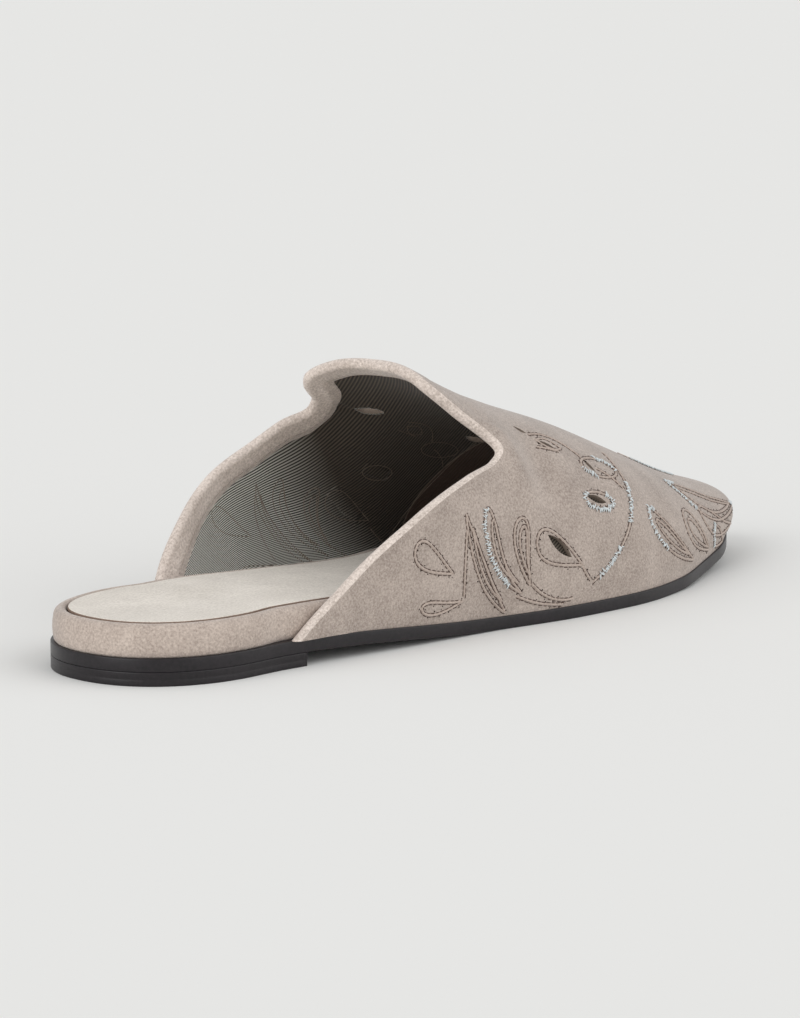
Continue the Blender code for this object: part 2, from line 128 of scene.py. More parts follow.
def half_width(x, side):
    """Half width of the sole on one side, rounded off by superellipses at heel and toe."""
    rows = [row.gauge * (row.lateral if side < 0 else row.medial) for row in OUTLINE]
    width = smooth_rows([row.station * LENGTH for row in OUTLINE], rows, x)
    heel = np.clip(1 - x / HEEL_ROUND, 0, 1)
    toe = np.clip(1 - (LENGTH - x) / TOE_ROUND, 0, 1)
    width = width * (1 - heel ** HEEL_POWER) ** (1 / HEEL_POWER)
    return width * np.maximum(1 - toe ** TOE_POWER, 0) ** (1 / TOE_POWER)


def outline_point(t, side):
    """Point of the sole's outline; past an end it runs on round to the other side."""
    folded = np.where(np.abs(t) > 1, 2 - np.abs(t), np.abs(t))
    x = station(folded)
    real_side = np.where((t < 0) | (t > 1), -side, side)
    swing = TIP_SWING * np.clip((x / LENGTH - SWING_FROM) / (1 - SWING_FROM), 0, 1) ** 2
    width = np.where(real_side < 0, half_width(x, -1), half_width(x, 1))
    return np.stack([x, swing + real_side * width], -1)


def unit(vectors):
    """Vectors scaled to a length of one."""
    return vectors / np.maximum(np.linalg.norm(vectors, axis=-1, keepdims=True), TINY)


def edge(t, side, inset=0.0):
    """Outline point moved inwards, square to the outline, by the inset."""
    t = np.asarray(t, float)
    along = unit(outline_point(t + OUTLINE_STEP, side) - outline_point(t - OUTLINE_STEP, side))
    inward = np.stack([side * along[..., 1], -side * along[..., 0]], -1)
    return outline_point(t, side) + inward * np.broadcast_to(inset, t.shape)[..., None]


def underside(x):
    """Height of the outsole's underside: heel, arch, flat forefoot and squared toe spring."""
    arch = HEEL_HEIGHT * (1 - ease(HEEL_LENGTH, FLAT_FROM * LENGTH, x))
    spring = TOE_SPRING * np.clip((x / LENGTH - FLAT_TO) / (1 - FLAT_TO), 0, 1) ** 2
    return arch + spring


def seat(x):
    """Height of the outsole's top."""
    return underside(x) + SOLE_THICKNESS


def to_frame(points):
    """Move points from the back of the heel to the frame's origin."""
    t = np.linspace(0, 1, MIDDLE_SAMPLES)
    edges = [outline_point(t, side)[:, 1] for side in (-1, 1)]
    middle = (edges[0].min() + edges[1].max()) / 2
    return points + np.array([OUTSOLE_LOW[0], -middle, 0.0])


def grid_quads(rows, columns, ring=False):
    """Corner numbers of each square of a grid whose columns may close into a ring."""
    i, j = np.meshgrid(np.arange(rows - 1), np.arange(columns - 1 + ring), indexing="ij")
    k = (j + 1) % columns
    quads = (i * columns + j, i * columns + k, (i + 1) * columns + k, (i + 1) * columns + j)
    return np.stack(quads, -1).reshape(-1, 4)


def last_row(rows, columns):
    """Corner numbers of a grid's last row, as a list of one cap."""
    return [((rows - 1) * columns + np.arange(columns)).tolist()]


def close_mesh(mesh):
    """Weld a mesh's poles and seams and turn its faces outwards."""
    shape = bmesh.new()
    shape.from_mesh(mesh)
    bmesh.ops.remove_doubles(shape, verts=shape.verts, dist=WELD)
    bmesh.ops.dissolve_degenerate(shape, edges=shape.edges, dist=WELD / 20)
    bmesh.ops.recalc_face_normals(shape, faces=shape.faces)
    shape.to_mesh(mesh)
    shape.free()


def link_object(name, data):
    """Make an object of its data in the scene."""
    made = bpy.data.objects.new(name, data)
    bpy.context.scene.collection.objects.link(made)
    return made


def add_piece(name, points, quads, finish, caps=(), chart=None, slot_of_quad=None):
    """Make a piece from points, quads and caps, and let it ride on the shoe's one body."""
    mesh = bpy.data.meshes.new(name)
    mesh.from_pydata(points.reshape(-1, 3).tolist(), [], quads.tolist() + list(caps))
    if chart is not None:
        layer = mesh.attributes.new("chart", "FLOAT_VECTOR", "POINT")
        layer.data.foreach_set("vector", np.ascontiguousarray(chart, np.float32).ravel())
    if slot_of_quad is not None:
        mesh.polygons.foreach_set("material_index", slot_of_quad.astype(np.int32))
    close_mesh(mesh)
    for material in finish:
        mesh.materials.append(material)
    mesh.shade_smooth()
    piece = link_object(name, mesh)
    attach(piece, "root")
    return piece


# One point of the loop round a flat form's section: its share across from the lateral edge,
# its inset, its share of the way up and its rise above that.
LoopPoint = namedtuple("LoopPoint", "share inset level rise")


def corner_loop(level, radius, first, last, inset=0.0, steps=5):
    """Points round one broken corner at the lateral edge, from one turn to another."""
    turn = np.radians(np.linspace(first, last, steps))
    rise = radius * np.sin(turn) + (radius if level == 0 else -radius)
    return [LoopPoint(0.0, inset + radius * (1 - np.cos(a)), level, r) for a, r in zip(turn, rise)]


def section_loop(side_points, across):
    """Close a loop: up the lateral side, over the top, down the medial side and back under."""
    shares = np.linspace(0, 1, across + 2)[1:-1]
    top, low = side_points[-1], side_points[0]
    over = [LoopPoint(share, top.inset, top.level, top.rise) for share in shares]
    under = [LoopPoint(share, low.inset, low.level, low.rise) for share in shares[::-1]]
    medial = [point._replace(share=1.0) for point in side_points[::-1]]
    return side_points + over + medial + under


def carried_form(t, loop, low, high, crown=None):
    """Carry a section's loop along the outline.

    A point lies at its share of the way between the two edges at its inset. Its height is
    the low function, plus its level of the way to the high one, plus its rise and, on the
    top, a crown worked out from its station and share.
    """
    rows = []
    for point in loop:
        lateral = edge(t, -1, point.inset)
        medial = edge(t, 1, point.inset)
        flat = lateral + point.share * (medial - lateral)
        x = flat[:, 0]
        z = low(x) * (1 - point.level) + high(x) * point.level + point.rise
        if crown is not None and point.level == 1:
            z = z + crown(x, point.share)
        rows.append(np.concatenate([flat, z[:, None]], -1))
    return np.stack(rows, 1)


def add_flat_form(name, points, finish, cut_end=True, slot_of_quad=None):
    """Make a piece of a carried form, with a cap over its last row if it has a cut end."""
    grid = points.shape[:2]
    return add_piece(
        name, to_frame(points), grid_quads(*grid, ring=True), finish,
        caps=last_row(*grid) if cut_end else (), slot_of_quad=slot_of_quad)


def add_node(tree, kind, inputs=(), **settings):
    """Add a shader node, with its own settings and its inputs as values or other outputs."""
    node = tree.nodes.new(kind)
    for key, value in settings.items():
        setattr(node, key, value)
    for key, value in dict(inputs).items():
        if isinstance(value, bpy.types.NodeSocket):
            tree.links.new(value, node.inputs[key])
        else:
            node.inputs[key].default_value = value
    return node


def maths(tree, operation, *values):
    """Output of a maths node."""
    return add_node(tree, "ShaderNodeMath", dict(enumerate(values)), operation=operation).outputs[0]


def ramp(tree, value, low, high):
    """Output that goes from 0 at the low value to 1 at the high one."""
    inputs = {"Value": value, "From Min": low, "From Max": high}
    return add_node(tree, "ShaderNodeMapRange", inputs).outputs["Result"]


def colour_mix(tree, factor, first, second):
    """Output that goes from the first colour to the second."""
    inputs = {"Factor": factor, "A": first, "B": second}
    return add_node(tree, "ShaderNodeMix", inputs, data_type="RGBA").outputs["Result"]


def new_finish(name, **plain):
    """A material with its Principled shader's constant values set on its own sockets."""
    material = bpy.data.materials.new(name)
    material.use_nodes = True
    shader = material.node_tree.nodes["Principled BSDF"]
    for key, value in plain.items():
        shader.inputs[key.replace("_", " ")].default_value = value
    return material, material.node_tree, shader


# How much the fine grain and the broad clouds count, and where their sum gives the two colours.
FINE_SHARE, BROAD_SHARE = 1.4, 0.6
GRAIN_DARK, GRAIN_LIGHT = 0.72, 1.28


def grain_group():
    """Node group of a fine grain: two noises of named sizes mix two colours and give a height."""
    group = bpy.data.node_groups.new("grain", "ShaderNodeTree")
    colour, number = "NodeSocketColor", "NodeSocketFloat"
    for name, kind, value in (
            ("Dark", colour, (0.2, 0.2, 0.2, 1)), ("Light", colour, (0.4, 0.4, 0.4, 1)),
            ("Fine", number, 1500.0), ("Broad", number, 60.0),
            ("Roughness Low", number, 0.8), ("Roughness High", number, 1.0)):
        socket = group.interface.new_socket(name=name, in_out="INPUT", socket_type=kind)
        socket.default_value = value
    for name, kind in (("Colour", colour), ("Height", number), ("Roughness", number)):
        group.interface.new_socket(name=name, in_out="OUTPUT", socket_type=kind)
    inside = add_node(group, "NodeGroupInput").outputs
    place = add_node(group, "ShaderNodeTexCoord").outputs["Object"]
    fine = add_node(group, "ShaderNodeTexNoise", {
        "Vector": place, "Scale": inside["Fine"], "Detail": 3.0, "Roughness": 0.65}).outputs["Fac"]
    broad = add_node(group, "ShaderNodeTexNoise", {
        "Vector": place, "Scale": inside["Broad"], "Detail": 4.0, "Roughness": 0.6}).outputs["Fac"]
    clouds = maths(group, "MULTIPLY", broad, BROAD_SHARE)
    both = maths(group, "MULTIPLY_ADD", fine, FINE_SHARE, clouds)
    mottle = ramp(group, both, GRAIN_DARK, GRAIN_LIGHT)
    rough = add_node(group, "ShaderNodeMix", {
        "Factor": broad, "A": inside["Roughness Low"], "B": inside["Roughness High"]})
    add_node(group, "NodeGroupOutput", {
        "Colour": colour_mix(group, mottle, inside["Dark"], inside["Light"]), "Height": fine,
        "Roughness": rough.outputs["Result"]})
    return group


GRAIN = grain_group()


def grained(name, dark, light, fine, broad, bump, rough, **plain):
    """A material whose colour, roughness and bump all come from the grain group."""
    material, tree, shader = new_finish(name, **plain)
    grain = add_node(tree, "ShaderNodeGroup", node_tree=GRAIN)
    for key, value in (("Dark", (*dark, 1)), ("Light", (*light, 1)), ("Fine", fine),
                       ("Broad", broad), ("Roughness Low", rough[0]), ("Roughness High", rough[1])):
        grain.inputs[key].default_value = value
    relief = add_node(tree, "ShaderNodeBump", {
        "Height": grain.outputs["Height"], "Strength": bump[0], "Distance": bump[1]})
    for value, socket in ((grain.outputs["Colour"], "Base Color"),
                          (grain.outputs["Roughness"], "Roughness"),
                          (relief.outputs["Normal"], "Normal")):
        tree.links.new(value, shader.inputs[socket])
    return material


NAP = {"Sheen_Weight": 0.35, "Sheen_Roughness": 0.45, "Specular_IOR_Level": 0.2}
BURNISHED = grained(
    "burnished_leather", (0.006, 0.005, 0.006), (0.016, 0.012, 0.015), 900.0, 45.0,
    (0.22, 0.00010), (0.30, 0.44), Specular_IOR_Level=0.36, Coat_Weight=0.08, Coat_Roughness=0.25)

outsole_sides = (
    corner_loop(0, SOLE_CORNER, -90, 0)
    + [LoopPoint(0.0, 0.0, 0.5, 0.0)]
    + corner_loop(1, SOLE_CORNER, 0, 90))
outsole_points = carried_form(
    np.linspace(0, 1, SOLE_ROWS), section_loop(outsole_sides, SOLE_ACROSS), underside, seat)
outsole = add_flat_form("outsole_leather", outsole_points, [BURNISHED], cut_end=False)
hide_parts("outsole")

# Heel lift.
# Two thin layers of leather stacked under the back of the sole, trimmed and stained with it, so
# that only fine lines part them. The breast is cut straight across.
LAYER_LINE = 0.00005
HEEL_ROWS, HEEL_ACROSS = 90, 16

heel_sides = corner_loop(0, SOLE_CORNER, -90, 0) + [
    LoopPoint(0.0, 0.0, 0.5, -4 * LAYER_LINE),
    LoopPoint(0.0, LAYER_LINE, 0.5, 0.0),
    LoopPoint(0.0, 0.0, 0.5, 4 * LAYER_LINE),
    LoopPoint(0.0, 0.0, 1.0, -8 * LAYER_LINE)]
heel_sides += corner_loop(1, 2 * LAYER_LINE, 0, 90, steps=3)
heel_t = np.linspace(0, parameter(HEEL_LENGTH), HEEL_ROWS)
heel_points = carried_form(
    heel_t, section_loop(heel_sides, HEEL_ACROSS), lambda x: 0 * x, underside)
heel_lift = add_flat_form("heel_lift_leather", heel_points, [BURNISHED])
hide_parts("heel_lift")

# Footbed.
# A padded insole wrapped in the upper's suede, glued down on the outsole. The suede turns over
# a rounded edge and ends in a seam, where it meets the sock. Ahead it passes inside the upper.
CLEARANCE = 0.0003
FOOTBED_THICKNESS = 0.0083
FOOTBED_TOE_THICKNESS = 0.0035
FOOTBED_INSET = 0.0008
FOOTBED_EDGE = 0.0024
FOOTBED_RIM = 0.0036
FOOTBED_TOE_GAP = 0.008
FOOTBED_TOE_INSET = 0.0014
FOOTBED_TUCK = 0.0114
THIN_FROM, THIN_TO = 0.660, 0.950
NARROW_FROM = 0.800
COLLAR_END = 0.182 * LENGTH
WALL = 0.0020
COLLAR_WALL = 0.0032
UPPER_INSET = 0.0006
COLLAR_OVERHANG = 0.0012
OVERHANG_REACH = 0.0285
FACING_REACH = 0.0475
SEAM_DEPTH = 0.0022
SEAM_HALF_WIDTH = 0.00015
SIDE_BULGE = 0.0003
FOOTBED_PRESS = 0.0001
FOOTBED_CORNER_IN, FOOTBED_CORNER_UP = 0.0004, 0.0005
WRAP_WAVE, WRAP_WAVELENGTH, CROSS_WAVE = 0.00012, 0.021, 0.6
BED_ROWS, BED_ACROSS = 240, 8

# Where the cover slopes into the seam: how far before it, and how deep.
SeamRow = namedtuple("SeamRow", "before depth")
SEAM_SLOPE = (
    SeamRow(0.0009, 0.00008),
    SeamRow(0.0004, 0.00028),
    SeamRow(0.0001, 0.00065),
    SeamRow(0.0, SEAM_DEPTH),
)

# The sines of a ripple: direction, share of the wavelength and phase.
RippleRow = namedtuple("RippleRow", "direction share phase")
RIPPLES = (
    RippleRow((0.8, 0.6, 0.3), 1.00, 0.0),
    RippleRow((-0.5, 0.9, 0.4), 0.61, 1.3),
    RippleRow((0.3, -0.4, 1.1), 0.37, np.pi / 2),
)


def upper_inset(x):
    """Inset of the upper's foot; the collar's ends lap a little over the sole's edge."""
    lap = UPPER_INSET + COLLAR_OVERHANG
    return UPPER_INSET - lap * (1 - ease(COLLAR_END, COLLAR_END + OVERHANG_REACH, x))


def footbed_inset(x):
    """Inset of the footbed, close to the sole's edge at the heel and inside the upper ahead."""
    wall = upper_inset(x) + WALL + CLEARANCE
    faced = 1 - ease(COLLAR_END + OVERHANG_REACH, COLLAR_END + FACING_REACH, x)
    facing = (COLLAR_WALL - WALL) * faced
    toe = FOOTBED_TOE_INSET * ease(NARROW_FROM * LENGTH, LENGTH, x)
    ahead = ease(COLLAR_END - FOOTBED_TUCK, COLLAR_END - CLEARANCE, x)
    return FOOTBED_INSET + (wall + facing + toe - FOOTBED_INSET) * ahead


def footbed_top(x):
    """Height of the footbed's top, which thins out under the vamp towards the toe."""
    thin = ease(THIN_FROM * LENGTH, THIN_TO * LENGTH, x)
    thickness = FOOTBED_THICKNESS + (FOOTBED_TOE_THICKNESS - FOOTBED_THICKNESS) * thin
    return seat(x) + CLEARANCE + thickness


def ripple(points, size, wavelength):
    """Soft unevenness of a hand-wrapped cover: one sine plus a share of two more's product."""
    first, second, third = [
        np.sin(2 * np.pi * (points @ np.array(row.direction)) / (row.share * wavelength) + row.phase)
        for row in RIPPLES]
    return size * (first + CROSS_WAVE * second * third) / (1 + CROSS_WAVE)


WRAP_SUEDE = grained(
    "wrap_suede", (0.350, 0.284, 0.245), (0.610, 0.518, 0.452), 1600.0, 90.0, (0.75, 0.00026),
    (0.86, 1.0), **NAP)

quarter = np.radians(np.linspace(0, 90, 8))
footbed_sides = [
    LoopPoint(0.0, FOOTBED_CORNER_IN, 0.0, 0.0),
    LoopPoint(0.0, 0.0, 0.0, FOOTBED_CORNER_UP),
    LoopPoint(0.0, -0.6 * SIDE_BULGE, 0.2, 0.0),
    LoopPoint(0.0, -SIDE_BULGE, 0.4, 0.0),
    LoopPoint(0.0, -0.7 * SIDE_BULGE, 0.6, 0.0)]
footbed_sides += [
    LoopPoint(0.0, FOOTBED_EDGE * (1 - np.cos(a)), 1.0, FOOTBED_EDGE * (np.sin(a) - 1))
    for a in quarter]
footbed_sides += [
    LoopPoint(0.0, FOOTBED_RIM - SEAM_HALF_WIDTH - row.before, 1.0, -row.depth)
    for row in SEAM_SLOPE]
footbed_loop = section_loop(footbed_sides, BED_ACROSS)
footbed_t = np.linspace(0, parameter(LENGTH - FOOTBED_TOE_GAP), BED_ROWS)


def footbed_form(t, loop, low, high, crown=None):
    """Carry a loop along the footbed's own edge, which is inset differently at each station."""
    own = footbed_inset(station(t))
    placed = [point._replace(inset=own + point.inset) for point in loop]
    return carried_form(t, placed, low, high, crown)


footbed_points = footbed_form(footbed_t, footbed_loop, lambda x: seat(x) - FOOTBED_PRESS, footbed_top)
outside = np.array([point.level < 1 or point.rise < 0 for point in footbed_loop])
away = footbed_points - footbed_points.mean(axis=1, keepdims=True)
away[..., 2] = 0
wave = ripple(footbed_points, WRAP_WAVE, WRAP_WAVELENGTH)
footbed_points += unit(away) * (wave * outside)[..., None]
footbed = add_flat_form("footbed_wrap", footbed_points, [WRAP_SUEDE])
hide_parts("footbed")

# Sock.
# A lighter, finer suede glued over the padding, its cut edge standing a little over the seam. It
# is pressed in where the heel and the ball of a foot stand. It carries no mark.
SOCK_DEPTH = 0.0012
SOCK_EDGE = 0.0006
SOCK_PROUD = 0.00018
SOCK_CUT_POINTS = 5
SOCK_ACROSS = 40
FOOT_PRESS = 0.0007

# Hollows pressed by a foot: station, half length, and half width as a share of the half width.
PressRow = namedtuple("PressRow", "station length width")
PRESSES = (
    PressRow(0.13, 0.020, 0.55),
    PressRow(0.64, 0.030, 0.60),
)
SOCK_SUEDE = grained(
    "sock_suede", (0.580, 0.530, 0.465), (0.830, 0.775, 0.700), 1500.0, 75.0, (0.55, 0.00020),
    (0.84, 0.98), Sheen_Weight=0.25, Sheen_Roughness=0.5, Specular_IOR_Level=0.2)
CUT_LEATHER = grained(
    "cut_leather", (0.15, 0.098, 0.072), (0.27, 0.19, 0.145), 2500.0, 300.0, (0.3, 0.0001), (0.8, 1.0))


def sock_press(x, share):
    """Hollow of the sock: bell curves under the heel and the ball."""
    across = (share - 0.5) * 2
    return -FOOT_PRESS * sum(
        np.exp(-((x - row.station * LENGTH) / row.length) ** 2 - (across / row.width) ** 2)
        for row in PRESSES)


sock_gap = FOOTBED_RIM + SEAM_HALF_WIDTH
sock_sides = [LoopPoint(0.0, sock_gap, 1.0, -SOCK_DEPTH)]
for a in quarter:
    inset, rise = SOCK_EDGE * (1 - np.cos(a)), SOCK_EDGE * (np.sin(a) - 1)
    sock_sides.append(LoopPoint(0.0, sock_gap + inset, 1.0, SOCK_PROUD + rise))
sock_loop = section_loop(sock_sides, SOCK_ACROSS)
sock_t = np.linspace(0, parameter(LENGTH - FOOTBED_TOE_GAP - CLEARANCE), BED_ROWS)
sock_points = footbed_form(sock_t, sock_loop, footbed_top, footbed_top, crown=sock_press)
from_lateral = grid_quads(*sock_points.shape[:2], ring=True)[:, 0] % len(sock_loop)
from_medial = len(sock_loop) - SOCK_ACROSS - 2 - from_lateral
cut_edge = (from_lateral < SOCK_CUT_POINTS) | ((from_medial >= 0) & (from_medial < SOCK_CUT_POINTS))
sock = add_flat_form(
    "sock_lining", sock_points, [SOCK_SUEDE, CUT_LEATHER], slot_of_quad=np.append(cut_edge, False))
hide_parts("sock")

# Upper.
# One piece of suede with a lining, lasted over the foot form and cemented to the outsole. The
# collar is faced inside with the same suede and rolled, drawn as a lighter copy of it for painted
# light; leaf shapes are cut through both.
INSTEP_HEIGHT = 0.070
NOSE_ROUND, NOSE_POWER = 0.024, 2.3
TOE_LEAN, TOE_LEAN_HEIGHT = 0.0062, 0.0060
GIRTH_AT = 0.45
FLARE_NEEDS = 0.25 * BALL_WIDTH
COLLAR_FACING = 0.0062
FACING_EDGE = 0.0003
FOOT_SINK = 0.0001
FOOT_SHARE = 0.06
CUTOUT_LENGTH = 0.0110
CUTOUT_WIDTH = 0.0031
STATION_STEP = 1e-5
TURN_STEP = 1e-4

# Sections: height as a share of INSTEP_HEIGHT, ridge as a share of the way across, the power
# of the curve, and how far the girth stands out on either side as shares of BALL_WIDTH.
SectionRow = namedtuple("SectionRow", "station height ridge power lateral_out medial_out")
SECTIONS = (
    SectionRow(0.190, 1.08, 0.54, 2.4, -0.010, 0.070),
    SectionRow(0.267, 1.10, 0.55, 2.4, 0.035, 0.135),
    SectionRow(0.344, 1.08, 0.56, 2.4, 0.058, 0.205),
    SectionRow(0.420, 0.985, 0.56, 2.3, 0.060, 0.225),
    SectionRow(0.496, 0.865, 0.56, 2.3, 0.050, 0.185),
    SectionRow(0.573, 0.755, 0.56, 2.2, 0.034, 0.125),
    SectionRow(0.668, 0.646, 0.55, 2.2, 0.020, 0.046),
    SectionRow(0.763, 0.507, 0.54, 2.2, 0.020, 0.025),
    SectionRow(0.859, 0.343, 0.52, 2.2, 0.020, 0.020),
    SectionRow(0.935, 0.214, 0.51, 2.2, 0.028, 0.024),
    SectionRow(1.000, 0.138, 0.50, 2.2, 0.034, 0.028),
)

# Edge of the collar: round is the share of the way over from the lateral foot to the medial
# foot, and station is where the upper ends there.
CollarRow = namedtuple("CollarRow", "round station")
COLLAR = (
    CollarRow(0.000, 0.182),
    CollarRow(0.040, 0.232),
    CollarRow(0.094, 0.296),
    CollarRow(0.153, 0.375),
    CollarRow(0.200, 0.436),
    CollarRow(0.236, 0.479),
    CollarRow(0.264, 0.494),
    CollarRow(0.290, 0.485),
    CollarRow(0.328, 0.458),
    CollarRow(0.390, 0.436),
    CollarRow(0.500, 0.436),
    CollarRow(0.590, 0.424),
    CollarRow(0.648, 0.417),
    CollarRow(0.672, 0.425),
    CollarRow(0.694, 0.447),
    CollarRow(0.715, 0.450),
    CollarRow(0.756, 0.426),
    CollarRow(0.806, 0.393),
    CollarRow(0.861, 0.335),
    CollarRow(0.914, 0.274),
    CollarRow(0.950, 0.240),
    CollarRow(1.000, 0.205),
)

# Leaf cut-outs: place, turn from the length of the shoe in degrees, size as a share of
# CUTOUT_LENGTH and CUTOUT_WIDTH, and whether the lining's cloth runs on behind.
CutoutRow = namedtuple("CutoutRow", "round station turn size backed")
CUTOUTS = (
    CutoutRow(0.100, 0.545, -35, 1.00, True),
    CutoutRow(0.187, 0.624, -12, 0.75, True),
    CutoutRow(0.267, 0.644, -60, 0.50, False),
    CutoutRow(0.308, 0.591, -25, 0.65, False),
    CutoutRow(0.344, 0.566, -20, 0.45, False),
    CutoutRow(0.667, 0.518, -20, 0.80, False),
    CutoutRow(0.669, 0.695, 0, 0.75, False),
    CutoutRow(0.813, 0.576, 12, 0.75, True),
    CutoutRow(0.885, 0.541, 38, 1.00, True),
)

# Soft forms pressed into the suede: place, turn of the long way in degrees, half length, half
# width and height, which is negative in a hollow.
CreaseRow = namedtuple("CreaseRow", "round station turn length width height")
CREASES = (
    CreaseRow(0.262, 0.512, 90, 0.0130, 0.0050, 0.0010),
    CreaseRow(0.250, 0.556, 80, 0.0150, 0.0058, -0.0017),
    CreaseRow(0.180, 0.520, 60, 0.0200, 0.0070, -0.0004),
    CreaseRow(0.700, 0.490, 90, 0.0120, 0.0050, 0.0005),
    CreaseRow(0.720, 0.540, 100, 0.0160, 0.0070, -0.0007),
    CreaseRow(0.450, 0.520, 90, 0.0200, 0.0080, -0.0004),
    CreaseRow(0.130, 0.720, 65, 0.0160, 0.0050, -0.0004),
    CreaseRow(0.850, 0.720, 115, 0.0160, 0.0050, -0.0004),
    CreaseRow(0.160, 0.690, 60, 0.0180, 0.0060, 0.0003),
)
BAND_RISE = 0.00028
BAND_FROM, BAND_TO = 0.0048, 0.0078
BAND_GIRTH = 0.045
# Lasting pleats: where they begin and end up the wall, as shares of its height, and along the
# shoe, as shares of its length; how far they wander, how often, and how far they slant.
LASTING_PLEAT = 0.00022
LASTING_PITCH = 0.0043
PLEAT_FOOT, PLEAT_HEAD = (0.05, 0.12), 0.32
PLEAT_START, PLEAT_END = (0.72, 0.86), (0.975, 1.0)
PLEAT_WANDER, PLEAT_RATE, PLEAT_SLANT = 0.4, 900, 2.4
# How finely the collar's edge is walked, and how much its slope and bend draw the columns in.
COLLAR_SAMPLES, TURN_SAMPLES = 1200, 2000
COLLAR_SHIFTS = np.concatenate([
    np.linspace(0, 0.012, 40), np.linspace(0.0125, FACING_REACH + 0.006, 50)])
SLOPE_WEIGHT, BEND_WEIGHT, MOST_BEND = 0.4, 0.004, 150


def section_value(name, x):
    """Value of one column of SECTIONS at a station."""
    rows = [getattr(row, name) for row in SECTIONS]
    return smooth_rows([row.station * LENGTH for row in SECTIONS], rows, x)


def upper_point(x, theta):
    """Outer surface of the upper at station x, theta running over from lateral foot to medial.

    Each side of a section is a power curve from its foot to the ridge: its height is the
    sine of theta, and its distance out is the cosine to the power 2 / power. The girth
    stands out past the sole, and the nose leans forward over the tip of the sole.
    """
    x, theta = np.broadcast_arrays(np.asarray(x, float), np.asarray(theta, float))
    t = parameter(x)
    lateral = edge(t, -1, upper_inset(x))
    medial = edge(t, 1, upper_inset(x))
    nose = np.clip(1 - (LENGTH - x) / NOSE_ROUND, 0, 1)
    height = INSTEP_HEIGHT * section_value("height", x)
    height = height * np.maximum(1 - nose ** NOSE_POWER, 0) ** (1 / NOSE_POWER)
    ridge = lateral + section_value("ridge", x)[..., None] * (medial - lateral)
    across = np.cos(theta)
    rise = np.maximum(np.sin(theta), 0)
    foot = np.where((across > 0)[..., None], lateral, medial)
    reach = np.linalg.norm(foot - ridge, axis=-1)
    stand = np.where(across > 0, section_value("lateral_out", x), section_value("medial_out", x))
    stand = BALL_WIDTH * stand * np.minimum(reach / FLARE_NEEDS, 1)
    swell = 1 - np.clip(1 - rise / GIRTH_AT, 0, 1) ** 2
    curve = np.abs(across) ** (2 / section_value("power", x))
    share = (1 + swell * stand / np.maximum(reach, STATION_STEP)) * curve
    flat = ridge + share[..., None] * (foot - ridge)
    lean = 1 - np.clip(1 - height * rise / TOE_LEAN_HEIGHT, 0, 1) ** 2
    flat = flat + np.stack([TOE_LEAN * nose * lean, 0 * lean], -1)
    sink = (CLEARANCE + FOOT_SINK) * np.clip(1 - rise / FOOT_SHARE, 0, 1)
    z = seat(x) + CLEARANCE + height * rise - sink
    return np.concatenate([flat, z[..., None]], -1)


def turns_beside(theta):
    """Theta one step back and one step on, kept within the section."""
    return np.clip(theta - TURN_STEP, 0, np.pi), np.clip(theta + TURN_STEP, 0, np.pi)


def upper_normal(x, theta):
    """Outward normal of the outer surface, by differences that stay on the surface."""
    ahead = np.minimum(x, LENGTH - 2 * STATION_STEP) + STATION_STEP
    along = upper_point(ahead, theta) - upper_point(ahead - 2 * STATION_STEP, theta)
    low, high = turns_beside(theta)
    over = upper_point(x, high) - upper_point(x, low)
    normal = np.cross(along, over)
    size = np.linalg.norm(normal, axis=-1, keepdims=True)
    return normal / np.where(size > 0, size, 1)


def girth_radius(x, theta):
    """Distance over the surface for one radian of theta."""
    low, high = turns_beside(theta)
    gap = np.linalg.norm(upper_point(x, high) - upper_point(x, low), axis=-1)
    return gap / (high - low)


CREASE_PLACES = np.array([(row.station * LENGTH, row.round * np.pi) for row in CREASES])
CREASE_RADII = girth_radius(*CREASE_PLACES.T)


def upper_relief(x, theta):
    """Height of the suede over the plain form.

    The soft creases are bell curves of an ellipse. The facing folded in at the collar lifts a
    band beside the edge. The small pleats where the toe is drawn in are a sine that dies out
    up the wall.
    """
    slope = (collar_station(theta + TURN_STEP) - collar_station(theta - TURN_STEP)) / (2 * TURN_STEP)
    from_collar = (x - collar_station(theta)) / np.hypot(1, slope / BAND_GIRTH)
    relief = BAND_RISE * (1 - ease(BAND_FROM, BAND_TO, from_collar))
    for row, radius in zip(CREASES, CREASE_RADII):
        turn = np.radians(row.turn)
        along, over = x - row.station * LENGTH, (theta - row.round * np.pi) * radius
        a = (along * np.cos(turn) + over * np.sin(turn)) / row.length
        b = (over * np.cos(turn) - along * np.sin(turn)) / row.width
        relief = relief + row.height * np.exp(-a * a - b * b)
    rise, share = np.sin(theta), x / LENGTH
    low = np.clip(1 - rise / PLEAT_HEAD, 0, 1) * ease(*PLEAT_FOOT, rise)
    drawn = ease(*PLEAT_START, share) * (1 - ease(*PLEAT_END, share))
    around = x / LASTING_PITCH + PLEAT_WANDER * np.sin(x * PLEAT_RATE) + PLEAT_SLANT * rise
    return relief + LASTING_PLEAT * low * drawn * np.sin(2 * np.pi * around)


def upper_surface(x, theta, lift=0.0):
    """Points on the dressed upper, lifted off it along the normal."""
    x, theta = np.broadcast_arrays(np.asarray(x, float), np.asarray(theta, float))
    height = upper_relief(x, theta) + lift
    return upper_point(x, theta) + upper_normal(x, theta) * height[..., None]


def collar_station(theta):
    """Station of the collar's edge at a turn."""
    rounds = [row.round * np.pi for row in COLLAR]
    return smooth_rows(rounds, [row.station * LENGTH for row in COLLAR], theta)


def collar_line(count):
    """Points along the collar's edge."""
    fine = np.linspace(0, np.pi, count)
    return upper_point(collar_station(fine), fine)


